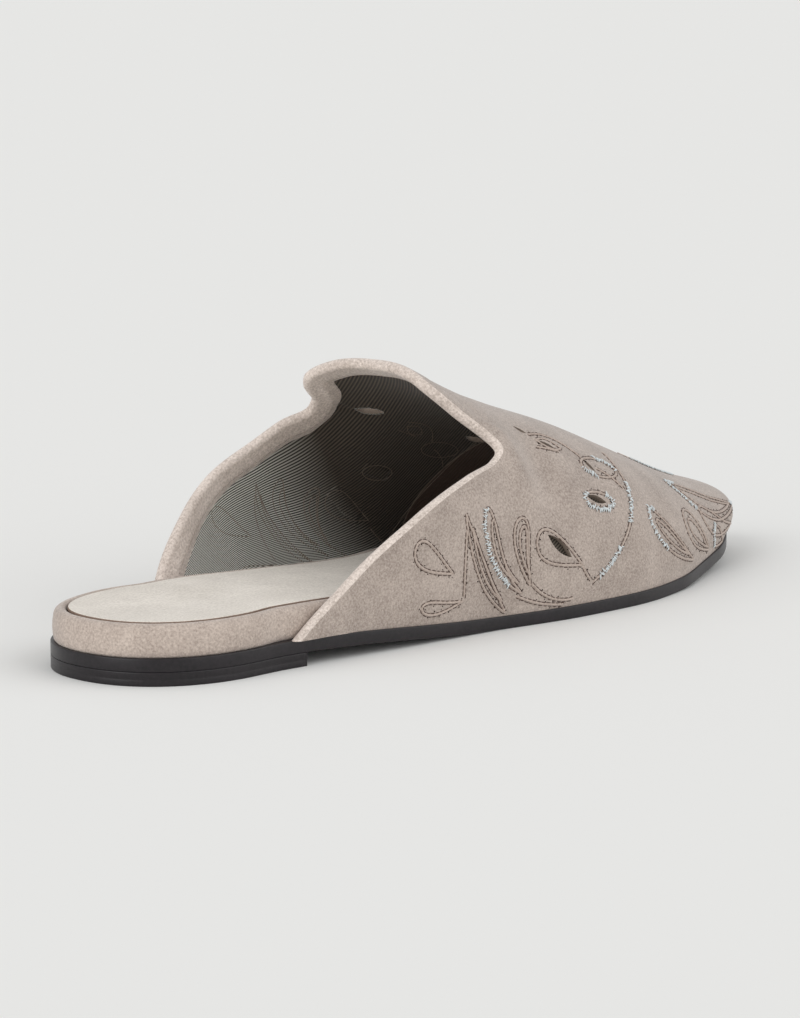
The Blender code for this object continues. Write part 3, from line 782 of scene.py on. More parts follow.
def collar_offsets(theta, distances):
    """Station in each column where the surface is each distance away from the collar's edge."""
    line = collar_line(COLLAR_SAMPLES)
    found = np.empty((len(distances), len(theta)))
    for column, angle in enumerate(theta):
        x = collar_station(angle) + COLLAR_SHIFTS
        gaps = upper_point(x, angle)[:, None, :] - line[None]
        nearest = np.linalg.norm(gaps, axis=-1).min(axis=1)
        found[:, column] = np.interp(distances, np.maximum.accumulate(nearest), x)
    return found


def collar_angles(count):
    """Columns over the section, closer together where the collar turns its corners."""
    even = np.linspace(0, 1, TURN_SAMPLES)
    slope = np.abs(np.gradient(collar_station(even * np.pi) / LENGTH, even))
    bend = np.abs(np.gradient(slope, even))
    weight = 1 + SLOPE_WEIGHT * slope + BEND_WEIGHT * np.minimum(bend, MOST_BEND)
    total = np.concatenate([[0], np.cumsum((weight[1:] + weight[:-1]) / 2)])
    return np.interp(np.linspace(0, total[-1], count), total, even) * np.pi


def wall_thickness(distance):
    """COLLAR_WALL as far as the facing reaches, then a step down to WALL."""
    faced = 1 - ease(COLLAR_FACING, COLLAR_FACING + FACING_EDGE, distance)
    return WALL + (COLLAR_WALL - WALL) * faced


# The mesh's rows beside the collar, as distances from its edge, and round its facing's step, as
# shares of FACING_EDGE. The last two distances lie past the step, so the rows fold back there.
UPPER_COLUMNS, UPPER_ROWS = 230, 165
RIM_DISTANCES = (0.0021, 0.0028, 0.0037, 0.0048, 0.0060, 0.0073, 0.0085)
STEP_SHARES = np.array([0, 0.35, 0.7, 1.0, 2.2])
ROLL_STEPS = 12
WALK_SAMPLES = 200
TOE_SEAM_AT, TOE_SEAM_BOW = 0.722, 0.45


def toe_seam(theta):
    """Station where the toe's smooth lining begins, further back at the feet by a parabola."""
    return (TOE_SEAM_AT - TOE_SEAM_BOW * (theta / np.pi - 0.5) ** 2) * LENGTH


theta = collar_angles(UPPER_COLUMNS)
half_wall = COLLAR_WALL / 2
distances = np.concatenate([
    [half_wall, *RIM_DISTANCES], COLLAR_FACING + STEP_SHARES * FACING_EDGE])
near = collar_offsets(theta, distances)
start = parameter(near[-1])
shares = np.linspace(0, 1, UPPER_ROWS - len(near) + 1)[1:]
x = np.concatenate([near, station(start + (1 - start) * shares[:, None])])
theta_grid = np.broadcast_to(theta, x.shape)
outer = upper_surface(x, theta_grid)
normal = upper_normal(x, theta_grid)
normal[-1] = (1.0, 0.0, 0.0)
thickness = np.full(x.shape, WALL)
thickness[:len(near)] = wall_thickness(distances)[:, None]
inner = outer - normal * thickness[..., None]
for side in (0, -1):
    flat = unit(outer[:, side, :2] - inner[:, side, :2])
    inner[:, side, :2] = outer[:, side, :2] - flat * thickness[:, side, None]
    inner[:, side, 2] = outer[:, side, 2]
outer[-1] = outer[-1, 0]
inner[-1] = inner[-1, 0]

line = collar_line(2 * COLLAR_SAMPLES)
nearest = np.array([np.linalg.norm(line - point, axis=-1).argmin() for point in outer[0]])
outward = line[nearest] - outer[0]
outward = unit(outward - normal[0] * np.sum(outward * normal[0], axis=-1, keepdims=True))
centre, arm = (outer[0] + inner[0]) / 2, (outer[0] - inner[0]) / 2
roll = []
for angle in np.linspace(0, np.pi, ROLL_STEPS + 1)[1:-1]:
    ring = centre + arm * np.cos(angle) + outward * half_wall * np.sin(angle)
    for side, step in ((0, 1), (-1, -1)):
        along = outer[0, side + step] - outer[0, side]
        ring[side] -= along * (ring[side, 2] - outer[0, side, 2]) / along[2]
    roll.append(ring)
roll = np.array(roll)

# The wall is one closed strip of rows: outside from the toe back to the collar, over the roll,
# and inside forward to the toe again.
wall = np.concatenate([outer[::-1], roll, inner])
wall_x = np.concatenate([x[::-1], np.broadcast_to(x[0], roll.shape[:2]), x])
even_x = np.linspace(COLLAR_END, LENGTH, WALK_SAMPLES)
over = upper_point(even_x[:, None], theta)
walk = np.cumsum(np.linalg.norm(np.diff(over, axis=1), axis=-1), axis=1)
walk = np.concatenate([np.zeros((len(even_x), 1)), walk], axis=1)
walk -= np.array([np.interp(np.pi / 2, theta, row) for row in walk])[:, None]
down = np.stack([np.interp(wall_x[:, j], even_x, walk[:, j]) for j in range(UPPER_COLUMNS)], -1)
chart = np.stack([wall_x, down, wall_x - toe_seam(theta)], -1)
wall_rows = len(wall)
quads = grid_quads(wall_rows, UPPER_COLUMNS)
row_of_quad = quads[:, 0] // UPPER_COLUMNS
lined_from = len(outer) + len(roll) + len(near) - 2
slot_of_quad = np.where(row_of_quad >= lined_from, 1, np.where(row_of_quad >= UPPER_ROWS, 3, 0))
feet = []
for side in (0, UPPER_COLUMNS - 1):
    numbers = np.arange(wall_rows) * UPPER_COLUMNS + side
    for i in range(UPPER_ROWS - 1):
        feet.append([numbers[UPPER_ROWS - 1 - i], numbers[UPPER_ROWS - 2 - i],
                     numbers[UPPER_ROWS + len(roll) + i + 1], numbers[UPPER_ROWS + len(roll) + i]])
    feet.append(numbers[UPPER_ROWS - 1:UPPER_ROWS + len(roll) + 1].tolist())
feet = [[int(corner) for corner in face] for face in feet]
slot_of_quad = np.concatenate([slot_of_quad, np.zeros(len(feet), int)])

# The lining is a ribbed mesh cloth, with a smooth brown lining at the toe. Its crests are painted near
# white near the collar and low on the medial wall as painted light, and dark brown further in as
# painted shade. Its ribs swing as the cloth is drawn over the form.
RIB_PITCH = 0.00120
RIB_BUMP, RIB_DEPTH = 0.5, 0.0002
RIB_SLOPE, RIB_SWING = 1.185, 40.5
# Painted shade over the lining: by the station, less a share of the way down the medial side, the crests
# go from near white to dark brown.
SHADE_SLOPE, SHADE_FROM, SHADE_TO = -1.2, 0.034, 0.075
# Where the sine turns from trough to crest, how far the seam's edge blurs, and its half width.
CREST_LOW, CREST_HIGH = -0.55, 0.85
TOE_BLUR = (-0.0001, 0.0002)
TOE_SEAM_HALF = 0.00035
# Crest colours: near white where light falls near the collar, painted light; dark brown further in,
# painted shade.
PAINTED_LIGHT_CREST = (0.860, 0.860, 0.790, 1)
PAINTED_SHADE_CREST = (0.135, 0.108, 0.083, 1)
LINING_TROUGH = (0.024, 0.020, 0.015, 1)
TOE_LINING = (0.090, 0.056, 0.040, 1)
TOE_THREAD = (0.240, 0.190, 0.150, 1)


def ribbed_lining():
    """Mesh cloth whose colour and height follow a sine of the way across its ribs, its crests carrying
    painted light near the collar and painted shade further in.

    With x the station and d the way down from the ridge line, the sine runs over x, less
    RIB_SLOPE times d, plus half of RIB_SWING times the square of d on the medial side.
    """
    material, tree, shader = new_finish(
        "mesh_lining", Roughness=0.6, Sheen_Weight=0.2, Sheen_Roughness=0.4, Specular_IOR_Level=0.3)
    place = add_node(tree, "ShaderNodeAttribute", attribute_name="chart").outputs["Vector"]
    parts = add_node(tree, "ShaderNodeSeparateXYZ", {"Vector": place}).outputs
    x, down, past_seam = parts["X"], parts["Y"], parts["Z"]
    medial = maths(tree, "MAXIMUM", down, 0.0)
    square = maths(tree, "MULTIPLY", medial, medial)
    straight = maths(tree, "MULTIPLY_ADD", down, -RIB_SLOPE, x)
    way = maths(tree, "MULTIPLY_ADD", square, RIB_SWING / 2, straight)
    sine = maths(tree, "SINE", maths(tree, "MULTIPLY", way, 2 * np.pi / RIB_PITCH))
    crest = ramp(tree, sine, CREST_LOW, CREST_HIGH)
    # Painted shade: the crests darken from near white to dark brown further forward and higher up, where
    # the inside lies in shade.
    painted_shade = ramp(tree, maths(tree, "MULTIPLY_ADD", medial, SHADE_SLOPE, x), SHADE_FROM, SHADE_TO)
    thread = colour_mix(tree, painted_shade, PAINTED_LIGHT_CREST, PAINTED_SHADE_CREST)
    cloth = colour_mix(tree, crest, LINING_TROUGH, thread)
    toe = colour_mix(tree, ramp(tree, past_seam, *TOE_BLUR), cloth, TOE_LINING)
    on_seam = maths(tree, "COMPARE", past_seam, 0.0, TOE_SEAM_HALF)
    tree.links.new(colour_mix(tree, on_seam, toe, TOE_THREAD), shader.inputs["Base Color"])
    relief = add_node(tree, "ShaderNodeBump", {
        "Height": crest, "Strength": RIB_BUMP, "Distance": RIB_DEPTH})
    tree.links.new(relief.outputs["Normal"], shader.inputs["Normal"])
    return material


LINING = ribbed_lining()
SUEDE = grained(
    "suede", (0.285, 0.232, 0.200), (0.530, 0.450, 0.396), 1700.0, 90.0, (0.75, 0.00026),
    (0.86, 1.0), **NAP)
# Painted light: a lighter copy of the same suede on the roll and the inside facing, standing in for the
# light and sheen that fall there.
PAINTED_LIGHT_FACING_SUEDE = grained(
    "painted_light_facing_suede", (0.470, 0.395, 0.345), (0.860, 0.760, 0.690), 1500.0, 70.0, (0.9, 0.0003),
    (0.86, 1.0), **NAP)
RAW_EDGE = grained(
    "raw_edge", (0.22, 0.17, 0.14), (0.32, 0.26, 0.21), 2500.0, 300.0, (0.3, 0.0001), (0.9, 1.0))
upper = add_piece(
    "upper_suede", to_frame(wall), quads, [SUEDE, LINING, RAW_EDGE, PAINTED_LIGHT_FACING_SUEDE], caps=feet,
    chart=chart, slot_of_quad=slot_of_quad)
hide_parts("upper")


LEAF_STEPS = 16
SHARP_ANGLE = 50


def leaf_outline(steps):
    """Leaf from tip to tip and back: the bow falls with the square of the way from the middle."""
    share = np.linspace(-1, 1, steps + 1)
    bow = (1 - share ** 2) / 2
    return np.concatenate([
        np.stack([share / 2, bow], -1), np.stack([share / 2, -bow], -1)[-2:0:-1]])


cutter_points, cutter_faces = [], []
for row in CUTOUTS:
    x0, theta0 = np.array(row.station * LENGTH), np.array(row.round * np.pi)
    middle, out = upper_surface(x0, theta0), upper_normal(x0, theta0)
    along = upper_point(x0 + STATION_STEP, theta0) - upper_point(x0, theta0)
    along = unit(along - out * np.dot(along, out))
    over = np.cross(out, along)
    turn = np.radians(row.turn)
    long_way = along * np.cos(turn) + over * np.sin(turn)
    wide_way = np.cross(out, long_way)
    leaf = leaf_outline(LEAF_STEPS) * np.array([CUTOUT_LENGTH, CUTOUT_WIDTH]) * row.size
    first, count = len(cutter_points) * len(leaf), len(leaf)
    for lift in (-2 * WALL, 2 * WALL):
        cutter_points.append(middle + leaf @ np.array([long_way, wide_way]) + out * lift)
    for i in range(count):
        j = (i + 1) % count
        cutter_faces.append([first + i, first + j, first + count + j, first + count + i])
    cutter_faces.append([first + i for i in reversed(range(count))])
    cutter_faces.append([first + count + i for i in range(count)])
cutter_mesh = bpy.data.meshes.new("cutter")
cutter_mesh.from_pydata(to_frame(np.concatenate(cutter_points)).tolist(), [], cutter_faces)
cutter_mesh.materials.append(RAW_EDGE)
close_mesh(cutter_mesh)
cutter = link_object("cutter", cutter_mesh)
cut = upper.modifiers.new("cutouts", "BOOLEAN")
cut.object = cutter
cut.solver = "EXACT"
cut.material_mode = "TRANSFER"
bpy.context.view_layer.update()
shaped = bpy.data.meshes.new_from_object(upper.evaluated_get(bpy.context.evaluated_depsgraph_get()))
upper.modifiers.clear()
upper.data = shaped
upper.data.set_sharp_from_angle(angle=np.radians(SHARP_ANGLE))
bpy.data.objects.remove(cutter)

# Stitched leaves.
# Fine cord laid under the suede in leaf and drop outlines stands out as low ridges. Rows of brown
# stitches hold it on both sides, with needle holes beside them drawn as near-black lenses of painted
# shade, and in places short pale threads cross it. Both sides of the vamp have the same layout,
# apart from the rows that name a side.
RIDGE_WIDTH = 0.00090
RIDGE_HEIGHT = 0.00036
RIDGE_STEP = 0.0005
RIDGE_FADE = 0.0015
RIDGE_SINK = 0.00003
RIDGE_FOOT = (0.85, -0.4)
LEAST_STEPS = 8
MOTIF_SAMPLES = 160
MOTIF_MARGIN = 0.004
STITCH_LENGTH = 0.0015
STITCH_PITCH = 0.0018
STITCH_RADIUS = 0.00012
HOLE_RADIUS = 0.00023
HOLE_PITCH = 0.0036
PALE_LENGTH = 0.0016
PALE_PITCH = 0.00046
PALE_RADIUS = 0.00017
PALE_TOP, PALE_FALL = 1.15, 3.4
BACK_STEP = 0.0008
BACK_RADIUS = 0.00011

# How unevenly the hand works: ranges of random shares of the pitch, length and thickness, and of
# distances from the ridge's side or along it.
STITCH_PLACES, STITCH_LENGTHS, STITCH_RADII = (-0.06, 0.06), (0.85, 1.12), (0.85, 1.15)
STITCH_OFFSETS, STITCH_LIFT = (0.00002, 0.00012), 0.00003
# The first stitch's place on the two sides of a ridge and the first hole's, as shares of a pitch.
STITCH_STARTS, HOLE_STARTS, STITCH_END = {-1: 0.25, 1: 0.75}, {-1: 0.1, 1: 0.5}, 0.4
HOLE_SHARE, HOLE_PLACES, HOLE_RADII = 0.62, (-0.0006, 0.0006), (0.7, 1.15)
HOLE_OFFSETS = (0.00025, 0.0006)
PALE_PLACES, PALE_LEANS, PALE_LENGTHS = (0, 0.8), (-0.7, 0.7), (0.6, 1.25)
PALE_SHIFTS, PALE_RADII = (-0.0004, 0.0007), (0.8, 1.2)

# Root and tip as rounds and stations, full width (0 for a plain line), bend as a share of the
# length, positive to the left from root to tip, profile, how much of the width and length an
# inner outline has (0 for none), the shares of the outline that pale threads cross, and the
# sides that have it, 0 for lateral and 1 for medial.
MotifRow = namedtuple("MotifRow", "root tip width bend profile inner pale sides", defaults=[(0, 1)])
MOTIFS = (
    MotifRow((0.060, 0.390), (0.092, 0.336), 0.0070, 0.04, "drop", 0.0, ()),
    MotifRow((0.025, 0.409), (0.019, 0.351), 0.0035, 0.05, "drop", 0.0, ()),
    MotifRow((0.029, 0.410), (0.120, 0.412), 0.0, 0.05, "line", 0.0, ()),
    MotifRow((0.004, 0.475), (0.138, 0.412), 0.0035, 0.10, "leaf", 0.5, ()),
    MotifRow((0.029, 0.493), (0.150, 0.447), 0.0050, 0.16, "drop", 0.5, ((0.10, 0.53),)),
    MotifRow((0.040, 0.503), (0.143, 0.497), 0.0055, 0.12, "drop", 0.5, ()),
    MotifRow((0.045, 0.503), (0.012, 0.568), 0.0, -0.12, "line", 0.0, ()),
    MotifRow((0.066, 0.577), (0.112, 0.514), 0.0090, 0.0, "drop", 0.0, (), (0,)),
    MotifRow((0.081, 0.577), (0.127, 0.514), 0.0090, 0.0, "drop", 0.0, (), (1,)),
    MotifRow((0.036, 0.592), (0.066, 0.577), 0.0, 0.05, "line", 0.0, ()),
    MotifRow((0.033, 0.593), (0.335, 0.702), 0.0, -0.15, "line", 0.0, ((0.06, 0.30), (0.46, 0.74))),
    MotifRow((0.215, 0.683), (0.262, 0.652), 0.0, -0.10, "line", 0.0, ()),
    MotifRow((0.005, 0.553), (0.027, 0.484), 0.0, 0.05, "line", 0.0, ()),
    MotifRow((0.186, 0.604), (0.184, 0.650), 0.0052, 0.0, "ring", 0.0, ((0.0, 0.10), (0.38, 1.0)), (0,)),
    MotifRow((0.186, 0.556), (0.184, 0.602), 0.0052, 0.0, "ring", 0.0, ((0.0, 0.10), (0.38, 1.0)), (1,)),
    MotifRow((0.262, 0.630), (0.268, 0.690), 0.0070, 0.0, "ring", 0.0, ((0.28, 0.52), (0.86, 1.0))),
    MotifRow((0.334, 0.574), (0.281, 0.640), 0.0, 0.20, "line", 0.0, ()),
    MotifRow((0.320, 0.580), (0.303, 0.612), 0.0040, 0.0, "leaf", 0.0, ()),
    MotifRow((0.302, 0.573), (0.292, 0.606), 0.0, 0.0, "line", 0.0, ()),
    MotifRow((0.160, 0.962), (0.285, 0.815), 0.0105, 0.06, "leaf", 0.55, ((0.40, 0.60), (0.96, 1.0))),
    MotifRow((0.440, 0.920), (0.420, 0.800), 0.0080, 0.05, "leaf", 0.5, ((0.05, 0.45),)),
    MotifRow((0.025, 0.850), (0.158, 0.792), 0.0095, 0.0, "drop", 0.5, ()),
    MotifRow((0.060, 0.935), (0.165, 0.850), 0.0070, 0.05, "drop", 0.0, ()),
    MotifRow((0.030, 0.795), (0.170, 0.712), 0.0075, 0.06, "drop", 0.4, ((0.30, 0.60),)),
    MotifRow((0.012, 0.900), (0.080, 0.868), 0.0060, 0.0, "drop", 0.0, ((0.35, 0.65),)),
)
PROFILES = {
    "line": lambda s: 0 * s,
    "leaf": lambda s: 4 * s * (1 - s),
    "ring": lambda s: 2 * np.sqrt(np.maximum(s * (1 - s), 0)),
    "drop": lambda s: 1.72 * s * np.sqrt(np.maximum(1 - s ** 3, 0)),
}
Path = namedtuple("Path", "way x theta closed pale")


def motif_path(row, mirrored, scale=1.0):
    """Outline of a motif over the surface.

    The midline is the chord from root to tip plus a parabola of the bend. The outline stands
    off it on both sides by half the width times its profile. The surface's own scale at the
    middle turns these distances into stations and turns.
    """
    root = np.array([row.root[1] * LENGTH, row.root[0] * np.pi])
    tip = np.array([row.tip[1] * LENGTH, row.tip[0] * np.pi])
    middle = (root + tip) / 2
    half_chord = (tip - root) / 2 * (0.5 + scale / 2)
    root, tip = middle - half_chord, middle + half_chord
    unit = np.array([1.0, girth_radius(middle[0], middle[1])])
    chord = (tip - root) * unit
    length = np.linalg.norm(chord)
    along = chord / length
    left = np.array([-along[1], along[0]])
    share = (1 - np.cos(np.linspace(0, np.pi, MOTIF_SAMPLES))) / 2
    side = np.ones(len(share))
    closed = row.profile != "line"
    if closed:
        share, side = np.concatenate([share, share[-2::-1]]), np.concatenate([side, -side[1:]])
    off = 4 * share * (1 - share) * row.bend * length
    off = off + side * scale * row.width / 2 * PROFILES[row.profile](share)
    place = root + (share[:, None] * length * along + off[:, None] * left) / unit
    x, theta = place[:, 0], np.clip(place[:, 1], MOTIF_MARGIN, np.pi - MOTIF_MARGIN)
    if mirrored:
        theta = np.pi - theta
    points = upper_point(x, theta)
    way = np.concatenate([[0], np.cumsum(np.linalg.norm(np.diff(points, axis=0), axis=1))])
    return Path(way, x, theta, closed, row.pale if scale == 1.0 else ())


PATHS = []
for row in MOTIFS:
    for mirrored in row.sides:
        PATHS.append(motif_path(row, mirrored))
        if row.inner > 0:
            PATHS.append(motif_path(row, mirrored, row.inner))


def path_steps(path, step):
    """Distances along a path, about a step apart; a closed path doesn't repeat its first."""
    way = np.linspace(0, path.way[-1], max(LEAST_STEPS, int(path.way[-1] / step)) + 1)
    return way[:-1] if path.closed else way


def on_path(path, way, lift=0.0):
    """Points, normals, and directions along and across a path at distances along it."""
    period = path.way[-1] if path.closed else None

    def surface(at):
        """Station, turn and point at distances along the path."""
        if period is None:
            at = np.clip(at, 0, path.way[-1])
        x = np.interp(at, path.way, path.x, period=period)
        theta = np.interp(at, path.way, path.theta, period=period)
        return x, theta, upper_surface(x, theta)

    step = RIDGE_STEP / 2
    along = surface(way + step)[2] - surface(way - step)[2]
    x, theta, points = surface(way)
    out = upper_normal(x, theta)
    along = unit(along - out * np.sum(along * out, axis=-1, keepdims=True))
    return points + out * lift, out, along, np.cross(out, along)


def loft(rings, closed):
    """Quads of a loft through rings of points, closed end to end or capped."""
    count, sides = rings.shape[:2]
    quads = grid_quads(count, sides, ring=True)
    if closed:
        last, first = (count - 1) * sides + np.arange(sides), np.arange(sides)
        turn = np.roll(np.arange(sides), -1)
        return np.concatenate([quads, np.stack([last, last[turn], first[turn], first], -1)]), []
    return quads, [np.arange(sides)[::-1].tolist()] + last_row(count, sides)


def join_lofts(lofts):
    """Put several lofts into one list of points, quads and caps."""
    points, quads, caps, base = [], [], [], 0
    for rings, closed in lofts:
        own_quads, own_caps = loft(rings, closed)
        points.append(rings.reshape(-1, 3))
        quads.append(own_quads + base)
        caps += [[corner + base for corner in cap] for cap in own_caps]
        base += len(points[-1])
    return np.concatenate(points), np.concatenate(quads), caps


RAISED_SUEDE = grained(
    "raised_suede", (0.370, 0.295, 0.252), (0.540, 0.450, 0.390), 1700.0, 120.0, (0.45, 0.00016),
    (0.88, 1.0), Sheen_Weight=0.3, Sheen_Roughness=0.45, Specular_IOR_Level=0.2)
across = np.linspace(-1, 1, 7)
ridge_profile = np.concatenate([
    np.stack([across, np.cos(across * np.pi / 2) ** 2], -1),
    [(side * RIDGE_FOOT[0], RIDGE_FOOT[1]) for side in (1, -1)]])
ridges = []
for path in PATHS:
    way = path_steps(path, RIDGE_STEP)
    fade = np.ones(len(way))
    if not path.closed:
        fade = ease(0, RIDGE_FADE, way) * ease(0, RIDGE_FADE, path.way[-1] - way)
    points, out, along, aside = on_path(path, way, -RIDGE_SINK)
    width = ridge_profile[:, 0] * RIDGE_WIDTH / 2
    rise = ridge_profile[:, 1] * RIDGE_HEIGHT * np.where(ridge_profile[:, 1] > 0, fade[:, None], 1)
    rings = points[:, None] + aside[:, None] * width[None, :, None] + out[:, None] * rise[..., None]
    ridges.append((rings, path.closed))
points, quads, caps = join_lofts(ridges)
add_piece("leaf_ridges", to_frame(points), quads, [RAISED_SUEDE], caps=caps)

draw = np.random.default_rng(11)
BROWN_THREAD = new_finish(
    "brown_thread", Base_Color=(0.085, 0.052, 0.040, 1), Roughness=0.75, Specular_IOR_Level=0.3)[0]
PALE_THREAD = new_finish(
    "pale_thread", Base_Color=(0.66, 0.71, 0.725, 1), Roughness=0.7, Sheen_Weight=0.4,
    Specular_IOR_Level=0.3)[0]
# The needle holes are small near-black lenses set in the suede: painted shade standing in for the holes.
NEEDLE_HOLE_SHADE = new_finish(
    "needle_hole", Base_Color=(0.018, 0.012, 0.010, 1), Roughness=1.0, Specular_IOR_Level=0.0)[0]


def round_bars(points, out, aside, radius, sides=6):
    """Rings round the points of bars, with a radius for each point."""
    turn = np.linspace(0, 2 * np.pi, sides, endpoint=False)
    ring = aside[..., None, :] * np.cos(turn)[:, None] + out[..., None, :] * np.sin(turn)[:, None]
    return points[..., None, :] + ring * radius[..., None, None]


def add_bars(name, rings, finish):
    """One piece of many separate bars, each a loft of rings with its two ends capped."""
    bars, steps, sides = rings.shape[:3]
    one = grid_quads(steps, sides, ring=True)
    base = np.arange(bars) * steps * sides
    quads = (one[None] + base[:, None, None]).reshape(-1, 4)
    ends = np.stack([np.arange(sides)[::-1], (steps - 1) * sides + np.arange(sides)])
    caps = (ends[None] + base[:, None, None]).reshape(-1, sides).tolist()
    return add_piece(name, to_frame(rings.reshape(-1, 3)), quads, [finish], caps=caps)


# Places along a bar and its thickness there, and the same for a hole from its bottom up.
bar = np.linspace(-0.5, 0.5, 5)
taper = np.array([0.45, 0.95, 1.0, 0.95, 0.45])
hole_lifts = np.array([-1.2e-4, 2e-5, 4e-5])
hole_taper = np.array([0.9, 1.0, 0.5])
stitches, threads, holes = [], [], []
for path in PATHS:
    reach = path.way[-1]
    for side in (-1, 1):
        start = np.arange(STITCH_STARTS[side], reach / STITCH_PITCH - STITCH_END)
        start = (start + draw.uniform(*STITCH_PLACES, len(start))) * STITCH_PITCH
        length = STITCH_LENGTH * draw.uniform(*STITCH_LENGTHS, len(start))
        way = start[:, None] + bar * length[:, None]
        offset = side * (RIDGE_WIDTH / 2 + draw.uniform(*STITCH_OFFSETS, (len(start), 1, 1)))
        points, out, along, aside = on_path(path, way, STITCH_LIFT)
        radius = STITCH_RADIUS * draw.uniform(*STITCH_RADII, (len(start), 1)) * taper
        stitches.append(round_bars(points + aside * offset, out, aside, radius))
        start = np.arange(HOLE_STARTS[side], reach / HOLE_PITCH)
        start = start[draw.random(len(start)) < HOLE_SHARE] * HOLE_PITCH
        start = start + draw.uniform(*HOLE_PLACES, len(start))
        offset = side * (RIDGE_WIDTH / 2 + draw.uniform(*HOLE_OFFSETS, (len(start), 1)))
        points, out, along, aside = on_path(path, start, 0.0)
        points = points + aside * offset
        stack = points[:, None] + out[:, None] * hole_lifts[:, None]
        radius = HOLE_RADIUS * draw.uniform(*HOLE_RADII, (len(start), 1)) * hole_taper
        turned = [np.broadcast_to(arrow[:, None], stack.shape) for arrow in (aside, along)]
        holes.append(round_bars(stack, *turned, radius, 7))
    for first, last in path.pale:
        count = int((last - first) * reach / PALE_PITCH)
        place = (np.arange(count) + draw.uniform(*PALE_PLACES, count)) / count
        points, out, along, aside = on_path(path, (first + (last - first) * place) * reach, 0.0)
        lean = draw.uniform(*PALE_LEANS, (count, 1))
        over = aside * np.cos(lean) + along * np.sin(lean)
        length = PALE_LENGTH * draw.uniform(*PALE_LENGTHS, (count, 1, 1))
        shift = draw.uniform(*PALE_SHIFTS, (count, 1, 1))
        points = points[:, None] + over[:, None] * (bar[:, None] * length + shift)
        lift = RIDGE_HEIGHT * (PALE_TOP - PALE_FALL * bar ** 2)
        points = points + out[:, None] * lift[:, None]
        radius = PALE_RADIUS * draw.uniform(*PALE_RADII, (count, 1)) * taper
        cross = np.broadcast_to(np.cross(out, over)[:, None], points.shape)
        threads.append(round_bars(points, np.broadcast_to(out[:, None], points.shape), cross, radius))
add_bars("brown_stitches", np.concatenate(stitches), BROWN_THREAD)
add_bars("needle_hole_shades", np.concatenate(holes), NEEDLE_HOLE_SHADE)
add_bars("pale_threads", np.concatenate(threads), PALE_THREAD)

# The backs of the stitches show on the lining as thin raised lines.
STITCH_BACK = new_finish(
    "stitch_back", Base_Color=(0.25, 0.205, 0.165, 1), Roughness=0.8, Specular_IOR_Level=0.3)[0]
backs = []
for path in PATHS:
    way = path_steps(path, BACK_STEP)
    points, out, along, aside = on_path(path, way, -WALL)
    backs.append((round_bars(points, out, aside, np.full(len(way), BACK_RADIUS), 5), path.closed))
points, quads, caps = join_lofts(backs)
add_piece("stitch_backs", to_frame(points), quads, [STITCH_BACK], caps=caps)

# Where a cut-out is backed, the lining's cloth runs on behind it.
CLOTH_SPREAD, CLOTH_WIDTH = 1.35, 1.3
CLOTH_ROWS, CLOTH_ACROSS = 12, 6
CLOTH_LIFTS = (-0.0016, -0.00204)


def lining_chart(x, theta_at):
    """The lining's chart at places on the form, between the entries of the walked table."""
    at_station = np.array([np.interp(x.ravel(), even_x, walk[:, j]) for j in range(UPPER_COLUMNS)])
    down_at = [np.interp(angle, theta, row) for angle, row in zip(theta_at.ravel(), at_station.T)]
    return np.stack([x, np.reshape(down_at, x.shape), x - toe_seam(theta_at)], -1)


cloths, cloth_charts = [], []
for row in CUTOUTS:
    if row.backed:
        half = CLOTH_SPREAD * row.size / 2 * np.array([CUTOUT_LENGTH, CLOTH_WIDTH * CUTOUT_WIDTH])
        a, b = np.meshgrid(
            half[0] * np.linspace(-1, 1, CLOTH_ROWS), half[1] * np.linspace(-1, 1, CLOTH_ACROSS),
            indexing="ij")
        turn = np.radians(row.turn)
        radius = girth_radius(row.station * LENGTH, row.round * np.pi)
        cloth_x = row.station * LENGTH + a * np.cos(turn) - b * np.sin(turn)
        cloth_theta = row.round * np.pi + (a * np.sin(turn) + b * np.cos(turn)) / radius
        faces = [upper_surface(cloth_x, cloth_theta, lift) for lift in CLOTH_LIFTS]
        cloths.append((np.concatenate([faces[0], faces[1][:, ::-1]], axis=1), False))
        own_chart = lining_chart(cloth_x, cloth_theta)
        cloth_charts.append(np.concatenate([own_chart, own_chart[:, ::-1]], axis=1).reshape(-1, 3))
points, quads, caps = join_lofts(cloths)
add_piece(
    "cloth_behind_cutouts", to_frame(points), quads, [LINING], caps=caps,
    chart=np.concatenate(cloth_charts))

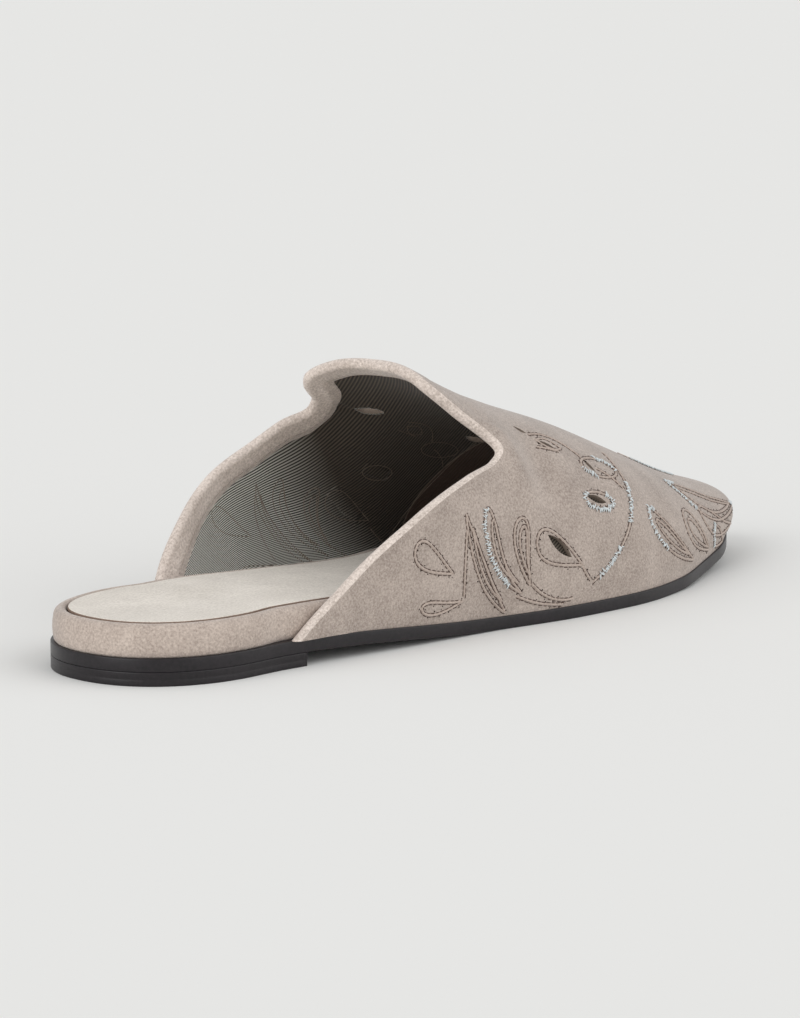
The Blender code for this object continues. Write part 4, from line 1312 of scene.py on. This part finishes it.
# Studio.
# A pale floor that runs far back, an even sky, a large soft lamp behind the heel and a wider one
# beside the toe. The camera stands behind and beside the heel, a little above it, as in the photo.
FLOOR_COLOUR = (0.86, 0.86, 0.845, 1.0)
FLOOR_REACH = 30.0
FLOOR_CORNERS = ((-1, -1), (1, -1), (1, 1), (-1, 1))
CAMERA_AZIMUTH = -47.8
CAMERA_ELEVATION = 10.2
CAMERA_DISTANCE = 1.2565
CAMERA_ORBIT = np.array([-0.0017, -0.0014, 0.020])
CAMERA_AIM = np.array([-0.0097, 0.0, 0.029])
CAMERA_LENS = 160.0
CAMERA_SENSOR = 36.0
CAMERA_SIGHT = 100.0
# Each lamp: the way it stands from the shoe, its strength and its width in degrees.
LampRow = namedtuple("LampRow", "name stands strength width")
LAMPS = (
    LampRow("key", (-0.92, 0.02, 0.40), 1.35, 55),
    LampRow("fill", (0.40, -0.85, 0.34), 1.25, 80),
)
SKY_STRENGTH = 0.60

floor_mesh = bpy.data.meshes.new("floor")
floor_mesh.from_pydata(
    [(x * FLOOR_REACH, y * FLOOR_REACH, 0) for x, y in FLOOR_CORNERS], [], [(0, 1, 2, 3)])
floor_mesh.materials.append(
    new_finish("floor_paper", Base_Color=FLOOR_COLOUR, Roughness=0.9, Specular_IOR_Level=0.0)[0])
floor = link_object("floor", floor_mesh)

world = bpy.data.worlds.new("studio")
world.use_nodes = True
sky = world.node_tree.nodes["Background"].inputs
sky["Color"].default_value = (1.0, 1.0, 1.0, 1.0)
sky["Strength"].default_value = SKY_STRENGTH
bpy.context.scene.world = world

for row in LAMPS:
    light = bpy.data.lights.new(row.name, "SUN")
    light.energy = row.strength
    light.angle = np.radians(row.width)
    lamp = link_object(row.name, light)
    lamp.rotation_euler = Vector(row.stands).to_track_quat("Z", "Y").to_euler()

azimuth, elevation = np.radians(CAMERA_AZIMUTH), np.radians(CAMERA_ELEVATION)
back = np.array([
    np.sin(azimuth) * np.cos(elevation), -np.cos(azimuth) * np.cos(elevation), np.sin(elevation)])
camera_data = bpy.data.cameras.new("camera")
camera_data.lens = CAMERA_LENS
camera_data.sensor_width = CAMERA_SENSOR
camera_data.sensor_fit = "AUTO"
camera_data.clip_end = CAMERA_SIGHT
camera = link_object("camera", camera_data)
eye = CAMERA_ORBIT + CAMERA_DISTANCE * back
camera.location = eye.tolist()
camera.rotation_euler = Vector((CAMERA_AIM - eye).tolist()).to_track_quat("-Z", "Y").to_euler()
bpy.context.scene.camera = camera
bpy.context.scene.view_settings.view_transform = "Standard"

bpy.context.view_layer.update()
